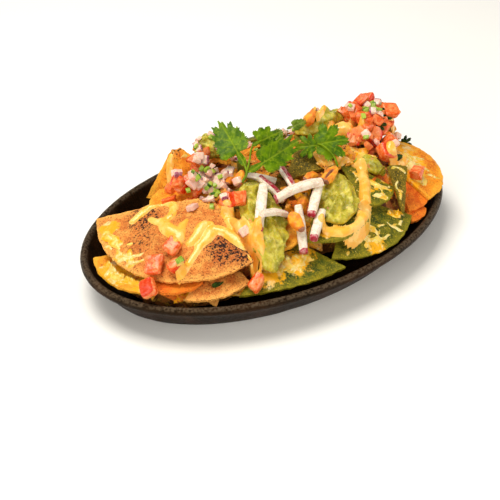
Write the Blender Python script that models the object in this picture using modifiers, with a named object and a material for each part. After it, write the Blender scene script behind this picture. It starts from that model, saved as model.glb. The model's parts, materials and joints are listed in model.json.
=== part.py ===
"""Loaded nachos in an oval cast-iron pan, built for Blender 4.5 (metres, +Z up).

The origin is the middle of the pan's flat underside. +X runs along the pan's length and +Y across it.
Sizes and places below are in millimetres. The chips are laid first, from the lowest to the highest, and
the bed of crushed chips and filling is shaped to the space under them. The dips are draped over both,
and the cut vegetables, the corn kernels and a sprig of coriander settle on top, each clear of its
neighbours by a small gap.
"""

import math
import random
from typing import NamedTuple

import bmesh
import bpy
from mathutils import Matrix, Vector, noise
from mathutils.bvhtree import BVHTree

MM = 0.001
GAP = 0.3  # air between neighbouring pieces
LIFT = 0.4  # the step by which a piece is raised until it clears what it lies on
MOST_LIFTS = 120
RAY_TOP = 200.0  # above everything
LEAST_UPRIGHT = 0.75  # the steepest slope that a topping leans to, as the height of its normal
SINK = 2.0  # the height over the pile from which a topping's middle starts to rise

# Pan
PAN_LENGTH = 270.0
PAN_WIDTH = 172.8
PAN_HEIGHT = 26.0
PAN_SIDES = 56
FLOOR_TOP = 4.5
# Half a section of the pan, from the rim of its flat underside round to the edge of its inner floor:
# (distance in from the pan's outline, height).
PAN_SECTION = (
    (17.0, 0.0),
    (15.4, 0.9),
    (5.2, 18.6),
    (1.6, 19.9),
    (0.2, 21.6),
    (0.0, 23.4),
    (0.9, 25.2),
    (2.6, PAN_HEIGHT),
    (4.2, 25.5),
    (5.4, 24.0),
    (8.4, 18.6),
    (16.2, 6.9),
    (20.5, FLOOR_TOP),
)

# Bed of crushed chips and filling
BED_FOOT_INSET = 24.0
BED_EDGE_INSET = 16.0
BED_EDGE_HEIGHT = 15.0
BED_CROWN = 41.0  # how far the middle of the bed rises over its edge
BED_RINGS = 10
BED_SIDES = 44
BED_LUMP = 3.0
BED_LUMP_SIZE = 16.0
# Where the bed stands back from the pan's wall: (angle round the oval, spread, depth), in degrees and mm
BED_BITES = ((142, 26, 20), (-92, 22, 15))
BED_MOUND = (74, 16, 30, 13)  # the rise under the salsa: its plan place, its reach and its height
BED_LEAST = 13.0  # how low the chips can press its top

# Tortilla chips
CHIP_THICKNESS = 2.0
CHIP_ROWS = 5
CHIP_COLUMN = 11.0  # the width of one column of faces at the round edge
LEAST_COLUMNS = 4
CHIP_TIP = 0.1  # the share of a chip's length that its blunt tip leaves out
CHIP_WAVE = 1.0
CHIP_WAVE_SIZE = 14.0
EDGE_DROOP = 0.4  # how much of a chip's slope its round edge keeps

COLOURS = {
    "iron": (0.030, 0.028, 0.026),
    "bed": (0.55, 0.28, 0.08),
    "corn": (0.85, 0.46, 0.12),
    "toasted": (0.70, 0.36, 0.13),
    "chilli": (0.78, 0.25, 0.05),
    "spinach": (0.14, 0.20, 0.05),
    "guacamole": (0.50, 0.55, 0.12),
    "radish": (0.86, 0.80, 0.74),
    "radish_skin": (0.62, 0.05, 0.17),
    "kernel": (0.90, 0.48, 0.08),
    "tomato": (0.80, 0.12, 0.05),
    "leaf": (0.12, 0.30, 0.03),
}
ROUGHNESS = {"iron": 0.55, "guacamole": 0.4, "tomato": 0.25, "radish": 0.4}


class Chip(NamedTuple):
    """A tortilla chip between its tip and the two ends of its round edge, in millimetres."""

    name: str
    colour: str
    tip: tuple
    first: tuple
    second: tuple
    round_edge: float  # how far the round edge bulges past its two ends
    bow: float  # how far the middle stands up, or sinks where negative


CHIPS = (
    Chip("chip_green_front", "spinach", (-16, -42, 37), (-64, -65, 26), (8, -77, 26), 4, 1),
    Chip("chip_green_low", "spinach", (38, -34, 43), (2, -70, 31), (76, -58, 28), 14, 1),
    Chip("chip_tan_front", "corn", (-58, -26, 36), (-94, -52, 27), (-54, -62, 31), 7, 1),
    Chip("chip_left_end", "corn", (-90, 4, 31), (-125, 13, 28), (-110, -37, 28), 9, -1),
    Chip("chip_red_front", "chilli", (-78, -12, 33), (-109, -37, 28), (-80, -50, 30), 7, -1),
    Chip("chip_orange_low", "chilli", (82, -28, 32), (74, -61, 25), (93, -54, 25), 3, 0),
    Chip("chip_orange_mid", "chilli", (86, -24, 37), (77, -54, 29), (101, -46, 28), 4, 1),
    Chip("chip_orange_right", "corn", (84, -14, 46), (97, -51, 30), (110, 7, 41), 24, 1),
    Chip("chip_middle_front", "corn", (-6, -12, 47), (-44, -46, 38), (-10, -55, 42), 6, 1),
    Chip("chip_green_right", "spinach", (52, -2, 52), (40, -48, 44), (72, -42, 43), 8, 1),
    Chip("chip_green_dish", "spinach", (34, -14, 56), (-11, -60, 43), (36, -62, 43), 8, -3),
    Chip("chip_upright", "spinach", (66, -61, 29), (85, -38, 49), (71, -34, 52), 2, 1),
    Chip("chip_under_salsa", "corn", (-14, 10, 51), (-62, 40, 42), (-72, 8, 42), 10, 1),
    Chip("chip_toasted_front", "toasted", (-45, -1, 50), (-110, 37, 34), (-49, -58, 38), 35, 3),
    Chip("chip_back_left", "corn", (-44, 49, 68), (-67, 50, 32), (-20, 20, 48), 8, 2),
    Chip("chip_dark_back", "spinach", (6, -8, 51), (44, -12, 54), (34, 18, 58), 4, 1),
    Chip("chip_far_left", "corn", (-16, 34, 52), (-50, 66, 30), (4, 77, 30), 5, 3),
    Chip("chip_far_middle", "spinach", (34, 34, 54), (14, 76, 31), (64, 66, 32), 6, 3),
    Chip("chip_far_right", "corn", (84, 26, 57), (68, 62, 33), (114, 32, 34), 9, 3),
    Chip("chip_behind_guacamole", "corn", (-18, 20, 58), (-33, 46, 62), (-4, 44, 62), 7, -2),
    Chip("chip_mound", "corn", (66, -4, 56), (109, 4, 51), (104, 34, 59), 7, 2),
)


class Dip(NamedTuple):
    """A dollop draped over what lies under it: its middle, half length, half width and depth."""

    name: str
    middle: tuple
    half_length: float
    half_width: float
    heading: float  # degrees from +X
    depth: float
    lobes: float  # how far its outline wanders, as a share


DIPS = (
    Dip("guacamole_middle", (-27, -35), 33, 13, 72, 7, 0.16),
    Dip("guacamole_right", (27, -40), 23, 13, 50, 8, 0.08),
    Dip("guacamole_back", (62, 32), 21, 13, 10, 11, 0.18),
    Dip("guacamole_left", (-22, 38), 12, 9, -20, 9, 0.12),
    Dip("green_salsa", (67, -22), 11, 5.5, -55, 6, 0.10),
)
DIP_RINGS = 5
DIP_SIDES = 16
DIP_LIP = 0.8  # its thickness at the edge
DIP_REACH = 2.5  # how far its underside keeps from anything beside it
DIP_LUMP = 0.25  # how uneven its top is, as a share of its depth
DIP_LUMP_SIZE = 7.0
DIP_SMOOTHING = 0.6


class Baton(NamedTuple):
    """A strip of radish between the plan places of its two ends, with its width and thickness."""

    start: tuple
    end: tuple
    width: float
    thickness: float
    arch: float  # how far its middle stands up
    colour: str


RADISHES = (
    Baton((9, 3), (4, -25), 4.5, 2.2, 1.0, "radish_skin"),
    Baton((-16, 5), (-2, -10), 6.0, 2.4, 0.5, "radish"),
    Baton((-13, -6), (-5, -24), 5.5, 2.2, 1.0, "radish_skin"),
    Baton((-17, -19), (-38, -46), 6.0, 3.4, 1.0, "radish"),
    Baton((-4, -39), (-16, -64), 5.4, 4.2, 1.0, "radish"),
    Baton((9, -48), (-8, -63), 5.4, 4.2, 1.0, "radish"),
    Baton((14, -36), (-1, -50), 5.8, 4.2, 0.5, "radish"),
    Baton((-13, -39), (-35, -44), 5.2, 3.4, 1.5, "radish"),
    Baton((-14, -29), (16, -38), 5.8, 4.6, 3.0, "radish"),
)
BATON_STEPS = 4
BATON_FLAT = 0.6  # the flat share of a baton's width and thickness, between its soft edges
BATON_SLIM = 0.8  # the width of its ends, as a share of its middle's


class Kernel(NamedTuple):
    """A toasted corn kernel: its plan place, its length, the way its tip points and its tilt."""

    place: tuple
    length: float
    heading: float
    tilt: float


KERNELS = (
    Kernel((-26, 8), 11.0, 200, -10),
    Kernel((-25, -3), 13.0, 40, 15),
    Kernel((19, -19), 12.5, 190, 0),
    Kernel((26, -31), 15.0, 20, 5),
    Kernel((11, 19), 10.5, 30, 0),
    Kernel((0, -38), 12.0, 230, -15),
    Kernel((-14, -52), 15.0, 250, -35),
    Kernel((50, 26), 14.0, 10, 10),
)
KERNEL_SIDES = 8
KERNEL_RINGS = 6
KERNEL_SHAPE = Vector((1.0, 0.72, 0.55))  # length, width and thickness, as shares of the length
KERNEL_TAPER = 0.55


class Dice(NamedTuple):
    """A cut piece of tomato: its plan place, its three sizes and its heading."""

    place: tuple
    size: tuple
    heading: float


TOMATOES = (
    Dice((-87, -26), (11, 10, 6), 20),
    Dice((-102, -29), (12, 10, 6), 55),
    Dice((-92, -38), (11, 9, 6), 10),
    Dice((-111, -38), (11, 9, 7), 70),
    Dice((-52, -66), (11, 7, 7), 30),
    Dice((-43, 19), (12, 10, 7), 40),
    Dice((-55, 20), (10, 10, 7), 15),
    Dice((-38, 27), (11, 10, 9), 25),
    Dice((-41, -15), (13, 10, 7), 35),
    Dice((84, -17), (12, 11, 9), 70),
    Dice((84, 6), (12, 10, 8), 10),
    Dice((105, 10), (14, 11, 7), 50),
    Dice((82, 20), (11, 9, 8), 75),
    Dice((98, 27), (14, 11, 8), 20),
)
DICE_BEVEL = 1.6
DICE_SKEW = 0.16


class Leaf(NamedTuple):
    """A coriander leaf: its base, its tip, and its lobes as (direction in degrees, reach as a share)."""

    base: tuple
    tip: tuple
    lobes: tuple


LONG_LEAF = (
    (0, 1.0),
    (28, 0.88),
    (60, 0.6),
    (90, 0.58),
    (118, 0.66),
    (-22, 0.8),
    (-54, 0.5),
    (-86, 0.5),
    (-116, 0.5),
)
SLIM_LEAF = (
    (0, 1.0),
    (20, 0.85),
    (48, 0.5),
    (86, 0.36),
    (122, 0.4),
    (-20, 0.8),
    (-50, 0.48),
    (-88, 0.36),
    (-122, 0.4),
)
BROAD_LEAF = ((0, 1.0), (38, 0.8), (78, 0.66), (118, 0.7), (-38, 0.75), (-78, 0.5), (-118, 0.45))
LEAVES = (
    Leaf((-19, 0, 70), (-17, 37, 86), LONG_LEAF),
    Leaf((-8, 9, 77), (15, 11, 79), BROAD_LEAF),
    Leaf((-20, -6, 69), (24, -1, 77), SLIM_LEAF),
)
LEAF_MIDDLE = 0.44  # where a leaf's lobes meet, as a share of its length
LEAF_NOTCH = 0.74  # how far its outline comes in between two lobes, as a share of the lobes' reach
LOBE_SHOULDER = (8, 0.9)  # a lobe's shoulders: their turn from its tip, and their reach as a share
LEAF_DOME = 1.2  # how far its middle stands up
LEAF_THICKNESS = 1.2
LEAF_FACING = Vector((-0.4, -0.6, 0.7))  # the way that its upper side is turned
# The stems, each as its points, from the cut end to the leaves' bases
STEMS = (
    ((-27, -9, 65), (-21, -5, 68), (-19, 2, 71), (-18.8, 10, 74.5)),
    ((-21, -5, 68), (-15, 1, 73), (-8, 9, 77), (0, 9.7, 77.8)),
    ((-21, -5, 68), (-14, -5, 70), (-6, -4, 71.6)),
)
STEM_WIDTH = 1.8
SPRIG_DROP = 6.0  # how far under its place the sprig starts, to be raised until it rests on the heap


def material(name):
    """The Principled material of one kind of food, or of the iron, made once."""
    made = bpy.data.materials.get(name)
    if made:
        return made
    made = bpy.data.materials.new(name)
    made.use_nodes = True
    shader = made.node_tree.nodes["Principled BSDF"]
    shader.inputs["Base Color"].default_value = (*COLOURS[name], 1.0)
    shader.inputs["Roughness"].default_value = ROUGHNESS.get(name, 0.7)
    shader.inputs["Metallic"].default_value = 1.0 if name == "iron" else 0.0
    return made


def new_piece(name, mesh, colour, collection, location=(0, 0, 0)):
    """A named object with its material, at a location in millimetres."""
    piece = bpy.data.objects.new(name, mesh)
    piece.location = Vector(location) * MM
    mesh.materials.append(material(colour))
    collection.objects.link(piece)
    return piece


def mesh_from(bm, name, smooth=True):
    """Turns a bmesh in millimetres into a mesh in metres with its faces pointing out."""
    bmesh.ops.recalc_face_normals(bm, faces=bm.faces)
    bmesh.ops.scale(bm, vec=(MM, MM, MM), verts=bm.verts)
    mesh = bpy.data.meshes.new(name)
    bm.to_mesh(mesh)
    bm.free()
    if smooth:
        mesh.shade_smooth()
        mesh.set_sharp_from_angle(angle=math.radians(40))
    return mesh


def evaluated(piece):
    """The piece's world points, its point normals and its faces, with its modifiers applied."""
    bpy.context.view_layer.update()
    graph = bpy.context.evaluated_depsgraph_get()
    shape = piece.evaluated_get(graph)
    mesh = shape.to_mesh()
    world = piece.matrix_world
    turn = world.to_3x3()
    points = [world @ v.co / MM for v in mesh.vertices]
    normals = [(turn @ v.normal).normalized() for v in mesh.vertices]
    faces = [tuple(p.vertices) for p in mesh.polygons]
    shape.to_mesh_clear()
    return points, normals, faces


class Pile:
    """Everything laid so far, as one tree of faces in millimetres."""

    def __init__(self):
        self.points = []
        self.faces = []
        self.tree = None

    def add(self, piece):
        """Lays a piece, so that later ones rest on it."""
        points, _, faces = evaluated(piece)
        first = len(self.points)
        self.points += points
        self.faces += [tuple(i + first for i in face) for face in faces]
        self.tree = BVHTree.FromPolygons(self.points, self.faces)

    def top(self, x, y, reach=0.0):
        """The highest surface at a place, or within reach of it."""
        return max(self._hit(x, y, reach, RAY_TOP, -1.0, 0.0))

    def under(self, x, y, start, reach, open_sky):
        """The lowest underside above a place, or within reach of it."""
        return min(self._hit(x, y, reach, start, 1.0, open_sky))

    def _hit(self, x, y, reach, start, way, missed):
        """Heights hit from start, at a place and at six places round it."""
        for dx, dy in around(reach):
            found = self.tree.ray_cast(Vector((x + dx, y + dy, start)), Vector((0, 0, way)))
            yield missed if found[0] is None else found[0].z


def around(reach):
    """A place's own offset, and six more on a circle round it."""
    yield 0.0, 0.0
    if reach:
        for k in range(6):
            yield reach * math.cos(math.tau * k / 6), reach * math.sin(math.tau * k / 6)


def settle(piece, pile):
    """Raises a piece in small steps until it clears the pile by the gap, and lays it there."""
    points, normals, faces = evaluated(piece)
    points = [p + n * GAP for p, n in zip(points, normals)]
    for _ in range(MOST_LIFTS):
        if not BVHTree.FromPolygons(points, faces).overlap(pile.tree):
            break
        piece.location.z += LIFT * MM
        points = [p + Vector((0, 0, LIFT)) for p in points]
    pile.add(piece)


def oval(inset, angle):
    """A point of the pan's outline, moved in by inset."""
    return Vector(
        (
            (PAN_LENGTH / 2 - inset) * math.cos(angle),
            (PAN_WIDTH / 2 - inset) * math.sin(angle),
            0.0,
        )
    )


def bridged(bm, rings, closed_ends=True):
    """Joins rings of points of equal count with faces, and closes the first and the last ring."""
    sides = len(rings[0])
    for low, high in zip(rings, rings[1:]):
        for k in range(sides):
            nxt = (k + 1) % sides
            bm.faces.new((low[k], low[nxt], high[nxt], high[k]))
    if closed_ends:
        bm.faces.new(list(reversed(rings[0])))
        bm.faces.new(rings[-1])


def make_pan(collection):
    """The oval pan: one casting with a rounded rim, sloping walls and a flat base."""
    bm = bmesh.new()
    rings = []
    for inset, height in PAN_SECTION:
        ring = []
        for k in range(PAN_SIDES):
            point = oval(inset, math.tau * k / PAN_SIDES)
            ring.append(bm.verts.new((point.x, point.y, height)))
        rings.append(ring)
    bridged(bm, rings)
    return new_piece("pan", mesh_from(bm, "pan"), "iron", collection)


def arc_point(chip, t):
    """A point of a chip's round edge, t from 0 at its first end to 1 at its second."""
    tip, first, second = Vector(chip.tip), Vector(chip.first), Vector(chip.second)
    chord = second - first
    middle = (first + second) / 2
    along = chord.normalized()
    out = middle - tip
    out -= along * out.dot(along)
    out.z *= EDGE_DROOP
    out.normalize()
    half = chord.length / 2
    bulge = max(chip.round_edge, 0.1)
    radius = (half * half + bulge * bulge) / (2 * bulge)
    spread = math.asin(min(1.0, half / radius))
    angle = (2 * t - 1) * spread
    return middle + along * (radius * math.sin(angle)) + out * (radius * math.cos(angle) - radius + bulge)


def make_chip(chip, seed, collection):
    """A fried chip: a bowed, slightly wavy sheet from its blunt tip to its round edge."""
    tip = Vector(chip.tip)
    normal = (Vector(chip.first) - tip).cross(Vector(chip.second) - tip).normalized()
    if normal.z < 0:
        normal.negate()
    wobble = random.Random(seed)
    shift = Vector([wobble.uniform(-50, 50) for _ in range(3)])
    edge = sum((arc_point(chip, k / 8 + 1 / 8) - arc_point(chip, k / 8)).length for k in range(8))
    columns = max(LEAST_COLUMNS, round(edge / CHIP_COLUMN))
    bm = bmesh.new()
    grid = []
    for i in range(CHIP_ROWS + 1):
        s = CHIP_TIP + (1 - CHIP_TIP) * i / CHIP_ROWS
        row = []
        for j in range(columns + 1):
            t = j / columns
            point = tip.lerp(arc_point(chip, t), s)
            rise = chip.bow * 4 * s * (1 - s) * (0.5 + 2 * t * (1 - t))
            wave = CHIP_WAVE * noise.noise((point + shift) / CHIP_WAVE_SIZE)
            row.append(bm.verts.new(point + normal * (rise + wave) - tip))
        grid.append(row)
    for low, high in zip(grid, grid[1:]):
        for j in range(columns):
            bm.faces.new((low[j], low[j + 1], high[j + 1], high[j]))
    mesh = mesh_from(bm, chip.name)
    piece = new_piece(chip.name, mesh, chip.colour, collection, chip.tip)
    sheet = piece.modifiers.new("thickness", "SOLIDIFY")
    sheet.thickness = CHIP_THICKNESS * MM
    sheet.offset = 0.0
    return piece


def bed_bite(angle):
    """How far the bed stands back from the pan's wall at an angle round the oval."""
    back = 0.0
    for middle, spread, depth in BED_BITES:
        away = (math.degrees(angle) - middle + 180) % 360 - 180
        back += depth * math.exp(-((away / spread) ** 2))
    return back


def bed_crown(x, y):
    """How high the bed would rise if no chip lay on it."""
    across = (x / (PAN_LENGTH / 2 - BED_EDGE_INSET)) ** 2 + (y / (PAN_WIDTH / 2 - BED_EDGE_INSET)) ** 2
    lump = BED_LUMP * noise.noise(Vector((x, y, 0)) / BED_LUMP_SIZE)
    mound_x, mound_y, reach, height = BED_MOUND
    mound = height * math.exp(-((x - mound_x) ** 2 + (y - mound_y) ** 2) / reach**2)
    return BED_EDGE_HEIGHT + BED_CROWN * max(0.0, 1 - across) ** 0.45 + mound + lump


def make_bed(pile, collection):
    """The bed under the chips: it stands on the pan's floor and fills the space up to them."""
    bm = bmesh.new()
    foot, rings = [], []
    for k in range(BED_SIDES):
        angle = math.tau * k / BED_SIDES
        point = oval(BED_FOOT_INSET + bed_bite(angle), angle)
        foot.append(bm.verts.new((point.x, point.y, FLOOR_TOP + GAP)))
    rings.append(foot)
    spacing = PAN_WIDTH / 2 / BED_RINGS
    for i in range(BED_RINGS):
        share = 1 - i / BED_RINGS
        ring = []
        for k in range(BED_SIDES):
            angle = math.tau * k / BED_SIDES
            point = oval(BED_EDGE_INSET + bed_bite(angle), angle) * share
            crown = bed_crown(point.x, point.y)
            low = pile.under(point.x, point.y, BED_LEAST, spacing / 2, RAY_TOP) - 2 * GAP
            ring.append(bm.verts.new((point.x, point.y, min(crown, low))))
        rings.append(ring)
    bridged(bm, rings)
    bmesh.ops.triangulate(bm, faces=bm.faces)
    press_down(bm, pile)
    return new_piece("bed", mesh_from(bm, "bed"), "bed", collection)


def press_down(bm, pile):
    """Lowers the bed's points wherever its surface still meets something that lies on it."""
    floor = FLOOR_TOP + GAP
    for _ in range(MOST_LIFTS):
        bm.verts.index_update()
        bm.faces.ensure_lookup_table()
        points = [v.co + Vector((0, 0, GAP if v.co.z > floor + GAP else 0)) for v in bm.verts]
        faces = [[v.index for v in f.verts] for f in bm.faces]
        met = {i for i, _ in BVHTree.FromPolygons(points, faces).overlap(pile.tree)}
        moved = {v for i in met for v in bm.faces[i].verts if v.co.z > BED_LEAST - 2}
        if not moved:
            break
        for v in moved:
            v.co.z -= LIFT


def make_dip(dip, seed, pile, collection):
    """A dollop of dip: its underside follows what it lies on, and its top is a soft crown."""
    turn = math.radians(dip.heading)
    shift = Vector((seed * 7.3, seed * 3.1, 0))
    bm = bmesh.new()
    under, over = [], []
    for i in range(DIP_RINGS):
        share = 1 - i / DIP_RINGS
        low_ring, high_ring = [], []
        for k in range(DIP_SIDES):
            angle = math.tau * k / DIP_SIDES
            wander = 1 + dip.lobes * 2 * noise.noise(Vector((math.cos(angle), math.sin(angle), 0)) + shift)
            a = dip.half_length * share * wander * math.cos(angle)
            b = dip.half_width * share * wander * math.sin(angle)
            x = dip.middle[0] + a * math.cos(turn) - b * math.sin(turn)
            y = dip.middle[1] + a * math.sin(turn) + b * math.cos(turn)
            low = pile.top(x, y, DIP_REACH) + 2 * GAP
            rise = DIP_LIP + dip.depth * math.sqrt(max(0.0, 1 - share**2))
            rise *= 1 + DIP_LUMP * noise.noise(Vector((x, y, 0)) / DIP_LUMP_SIZE + shift)
            low_ring.append((x, y, low))
            high_ring.append([x, y, low + rise])
        under.append(low_ring)
        over.append(high_ring)
    smooth_heights(over)
    for low_ring, high_ring in zip(under, over):
        for low, high in zip(low_ring, high_ring):
            high[2] = max(high[2], low[2] + DIP_LIP)
    rings = [[bm.verts.new(p) for p in ring] for ring in list(reversed(under)) + over]
    bridged(bm, rings)
    bmesh.ops.triangulate(bm, faces=bm.faces)
    return new_piece(dip.name, mesh_from(bm, dip.name), "guacamole", collection)


def smooth_heights(rings):
    """Evens the heights of a ringed top with its neighbours, once."""
    old = [[p[2] for p in ring] for ring in rings]
    for i, ring in enumerate(rings):
        for k, point in enumerate(ring):
            near = [old[i][k - 1], old[i][(k + 1) % len(ring)]]
            near += [old[j][k] for j in (i - 1, i + 1) if 0 <= j < len(rings)]
            point[2] = (1 - DIP_SMOOTHING) * old[i][k] + DIP_SMOOTHING * sum(near) / len(near)


def rest_on(pile, place, reach):
    """The height and the upward normal of the pile round a place, from four places about it."""
    x, y = place
    sides = [pile.top(x + dx, y + dy) for dx, dy in ((reach, 0), (-reach, 0), (0, reach), (0, -reach))]
    normal = Vector((sides[1] - sides[0], sides[3] - sides[2], 2 * reach)).normalized()
    if normal.z < LEAST_UPRIGHT:
        normal = Vector((normal.x, normal.y, 0)).normalized() * math.sqrt(1 - LEAST_UPRIGHT**2)
        normal.z = LEAST_UPRIGHT
    return max(min(sides), pile.top(x, y) - reach), normal


def laid(normal, heading):
    """The turn that lays a piece on a slope with its own X at a heading, in degrees."""
    lean = Vector((0, 0, 1)).rotation_difference(normal).to_matrix().to_4x4()
    return lean @ Matrix.Rotation(math.radians(heading), 4, "Z")


def make_baton(index, baton, pile, collection):
    """A strip of radish with a slight arch, lying from one place on the pile to another."""
    start, end = (Vector((x, y, pile.top(x, y, 1.5))) for x, y in (baton.start, baton.end))
    middle = (start + end) / 2
    along = (end - start).normalized()
    side = Vector((0, 0, 1)).cross(along).normalized()
    up = along.cross(side)
    bm = bmesh.new()
    rings = []
    for k in range(BATON_STEPS + 1):
        s = k / BATON_STEPS
        centre = start.lerp(end, s) - middle + up * (baton.arch * 4 * s * (1 - s) + baton.thickness / 2)
        slim = BATON_SLIM + (1 - BATON_SLIM) * math.sin(math.pi * s)
        across, rise = side * (baton.width / 2 * slim), up * (baton.thickness / 2)
        flat, upright = across * BATON_FLAT, rise * BATON_FLAT
        corners = (across + upright, flat + rise, rise - flat, upright - across)
        ring = [bm.verts.new(centre + c) for c in corners]
        ring += [bm.verts.new(centre - c) for c in corners]
        rings.append(ring)
    bridged(bm, rings)
    name = f"radish_{index + 1}"
    return new_piece(name, mesh_from(bm, name), baton.colour, collection, middle)


def make_kernel(index, kernel, pile, collection):
    """A toasted corn kernel: broad and blunt at one end and drawn to a tip at the other."""
    bm = bmesh.new()
    bmesh.ops.create_uvsphere(bm, u_segments=KERNEL_SIDES, v_segments=KERNEL_RINGS, radius=0.5)
    for vert in bm.verts:
        vert.co.xyz = vert.co.zyx
        taper = 1 - KERNEL_TAPER * (vert.co.x + 0.5) ** 1.5
        vert.co.y *= taper
        vert.co.z *= taper
    bmesh.ops.scale(bm, vec=KERNEL_SHAPE * kernel.length, verts=bm.verts)
    bmesh.ops.rotate(bm, verts=bm.verts, matrix=Matrix.Rotation(math.radians(-kernel.tilt), 3, "Y"))
    height, normal = rest_on(pile, kernel.place, kernel.length / 4)
    bmesh.ops.transform(bm, verts=bm.verts, matrix=laid(normal, kernel.heading))
    name = f"corn_kernel_{index + 1}"
    return new_piece(name, mesh_from(bm, name), "kernel", collection, (*kernel.place, height + SINK))


def make_dice(index, dice, pile, collection):
    """A cut piece of tomato: a skewed block with soft edges, lying on the pile."""
    wobble = random.Random(index)
    bm = bmesh.new()
    bmesh.ops.create_cube(bm, size=1.0)
    for vert in bm.verts:
        vert.co += Vector([wobble.uniform(-DICE_SKEW, DICE_SKEW) for _ in range(3)])
    bmesh.ops.scale(bm, vec=dice.size, verts=bm.verts)
    bmesh.ops.bevel(bm, geom=bm.edges, offset=DICE_BEVEL, segments=1, affect="EDGES")
    height, normal = rest_on(pile, dice.place, min(dice.size[:2]) / 2)
    bmesh.ops.transform(bm, verts=bm.verts, matrix=laid(normal, dice.heading))
    name = f"tomato_{index + 1}"
    return new_piece(name, mesh_from(bm, name), "tomato", collection, (*dice.place, height + SINK))


def joined(bodies):
    """Unites closed bodies that overlap into one mesh, in millimetres."""
    whole = None
    for body in bodies:
        mesh = bpy.data.meshes.new("body")
        bmesh.ops.recalc_face_normals(body, faces=body.faces)
        body.to_mesh(mesh)
        body.free()
        piece = bpy.data.objects.new("body", mesh)
        bpy.context.scene.collection.objects.link(piece)
        if whole is None:
            whole = piece
            continue
        union = whole.modifiers.new("union", "BOOLEAN")
        union.operation, union.solver, union.object = "UNION", "EXACT", piece
        bpy.context.view_layer.update()
        graph = bpy.context.evaluated_depsgraph_get()
        mesh = bpy.data.meshes.new_from_object(whole.evaluated_get(graph))
        whole.modifiers.clear()
        whole.data = mesh
        bpy.data.objects.remove(piece)
    bm = bmesh.new()
    bm.from_mesh(whole.data)
    bpy.data.objects.remove(whole)
    return bm


def make_leaf(leaf):
    """A closed, slightly domed plate with the leaf's lobed outline."""
    base, tip = Vector(leaf.base), Vector(leaf.tip)
    along = (tip - base).normalized()
    across = LEAF_FACING.cross(along).normalized()
    up = along.cross(across)
    centre = base.lerp(tip, LEAF_MIDDLE)
    reach = (tip - base).length * (1 - LEAF_MIDDLE)
    lobes = sorted([*leaf.lobes, (180, LEAF_MIDDLE / (1 - LEAF_MIDDLE))], key=lambda lobe: lobe[0] % 360)
    bm = bmesh.new()
    rims = [[], []]
    for (angle, share), (next_angle, next_share) in zip(lobes, lobes[1:] + lobes[:1]):
        half = angle + ((next_angle - angle) % 360) / 2
        aside, shoulder = LOBE_SHOULDER
        lobe = ((angle - aside, share * shoulder), (angle, share), (angle + aside, share * shoulder))
        for turn, r in (*lobe, (half, LEAF_NOTCH * min(share, next_share))):
            way = along * math.cos(math.radians(turn)) + across * math.sin(math.radians(turn))
            spot = centre + way * r * reach
            rims[0].append(bm.verts.new(spot))
            rims[1].append(bm.verts.new(spot - up * LEAF_THICKNESS))
    peaks = [bm.verts.new(centre + up * LEAF_DOME), bm.verts.new(centre + up * (LEAF_DOME - LEAF_THICKNESS))]
    for k in range(len(rims[0])):
        nxt = (k + 1) % len(rims[0])
        bm.faces.new((peaks[0], rims[0][k], rims[0][nxt]))
        bm.faces.new((peaks[1], rims[1][nxt], rims[1][k]))
        bm.faces.new((rims[0][k], rims[1][k], rims[1][nxt], rims[0][nxt]))
    return bm


def make_stem(points):
    """A closed stem of even width through its points."""
    bm = bmesh.new()
    points = [Vector(p) for p in points]
    rings = []
    for k, point in enumerate(points):
        along = (points[min(k + 1, len(points) - 1)] - points[max(k - 1, 0)]).normalized()
        side = along.cross(Vector((0, 0, 1))).normalized() * STEM_WIDTH / 2
        up = side.cross(along)
        corners = ((side + up), (up - side), (-side - up), (side - up))
        rings.append([bm.verts.new(point + c) for c in corners])
    bridged(bm, rings)
    return bm


def make_sprig(pile, collection):
    """The coriander: its stems and its leaves, united in one body that lies on the heap."""
    root = Vector(STEMS[0][0])
    start = root - Vector((0, 0, SPRIG_DROP))
    bm = joined([make_stem(points) for points in STEMS] + [make_leaf(leaf) for leaf in LEAVES])
    bmesh.ops.translate(bm, vec=-root, verts=bm.verts)
    bmesh.ops.triangulate(bm, faces=bm.faces)
    return new_piece("coriander", mesh_from(bm, "coriander"), "leaf", collection, start)


def main():
    """Builds the pan and lays everything in it, from the bottom up."""
    for old in list(bpy.data.objects):
        bpy.data.objects.remove(old)
    collection = bpy.data.collections.new("nachos")
    bpy.context.scene.collection.children.link(collection)
    pile = Pile()
    pile.add(make_pan(collection))
    for seed, chip in enumerate(CHIPS):
        settle(make_chip(chip, seed, collection), pile)
    pile.add(make_bed(pile, collection))
    for seed, dip in enumerate(DIPS):
        settle(make_dip(dip, seed, pile, collection), pile)
    for index, dice in enumerate(TOMATOES):
        settle(make_dice(index, dice, pile, collection), pile)
    for index, baton in enumerate(RADISHES):
        settle(make_baton(index, baton, pile, collection), pile)
    for index, kernel in enumerate(KERNELS):
        settle(make_kernel(index, kernel, pile, collection), pile)
    settle(make_sprig(pile, collection), pile)


if __name__ == "__main__":
    main()
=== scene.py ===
"""Loaded nachos in an oval cast-iron pan: the real chips, dips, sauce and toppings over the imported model.

Lengths and places are in millimetres in this file and in metres in Blender.
+X runs along the pan and +Y across it.
"""

from __future__ import annotations

import json
import logging
import math
import random
from dataclasses import dataclass
from enum import Enum
from typing import Any, Callable, Iterable, Sequence

import bmesh
import bpy
import numpy as np
from mathutils import Matrix, Vector, noise
from mathutils.bvhtree import BVHTree
from mathutils.kdtree import KDTree

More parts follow.
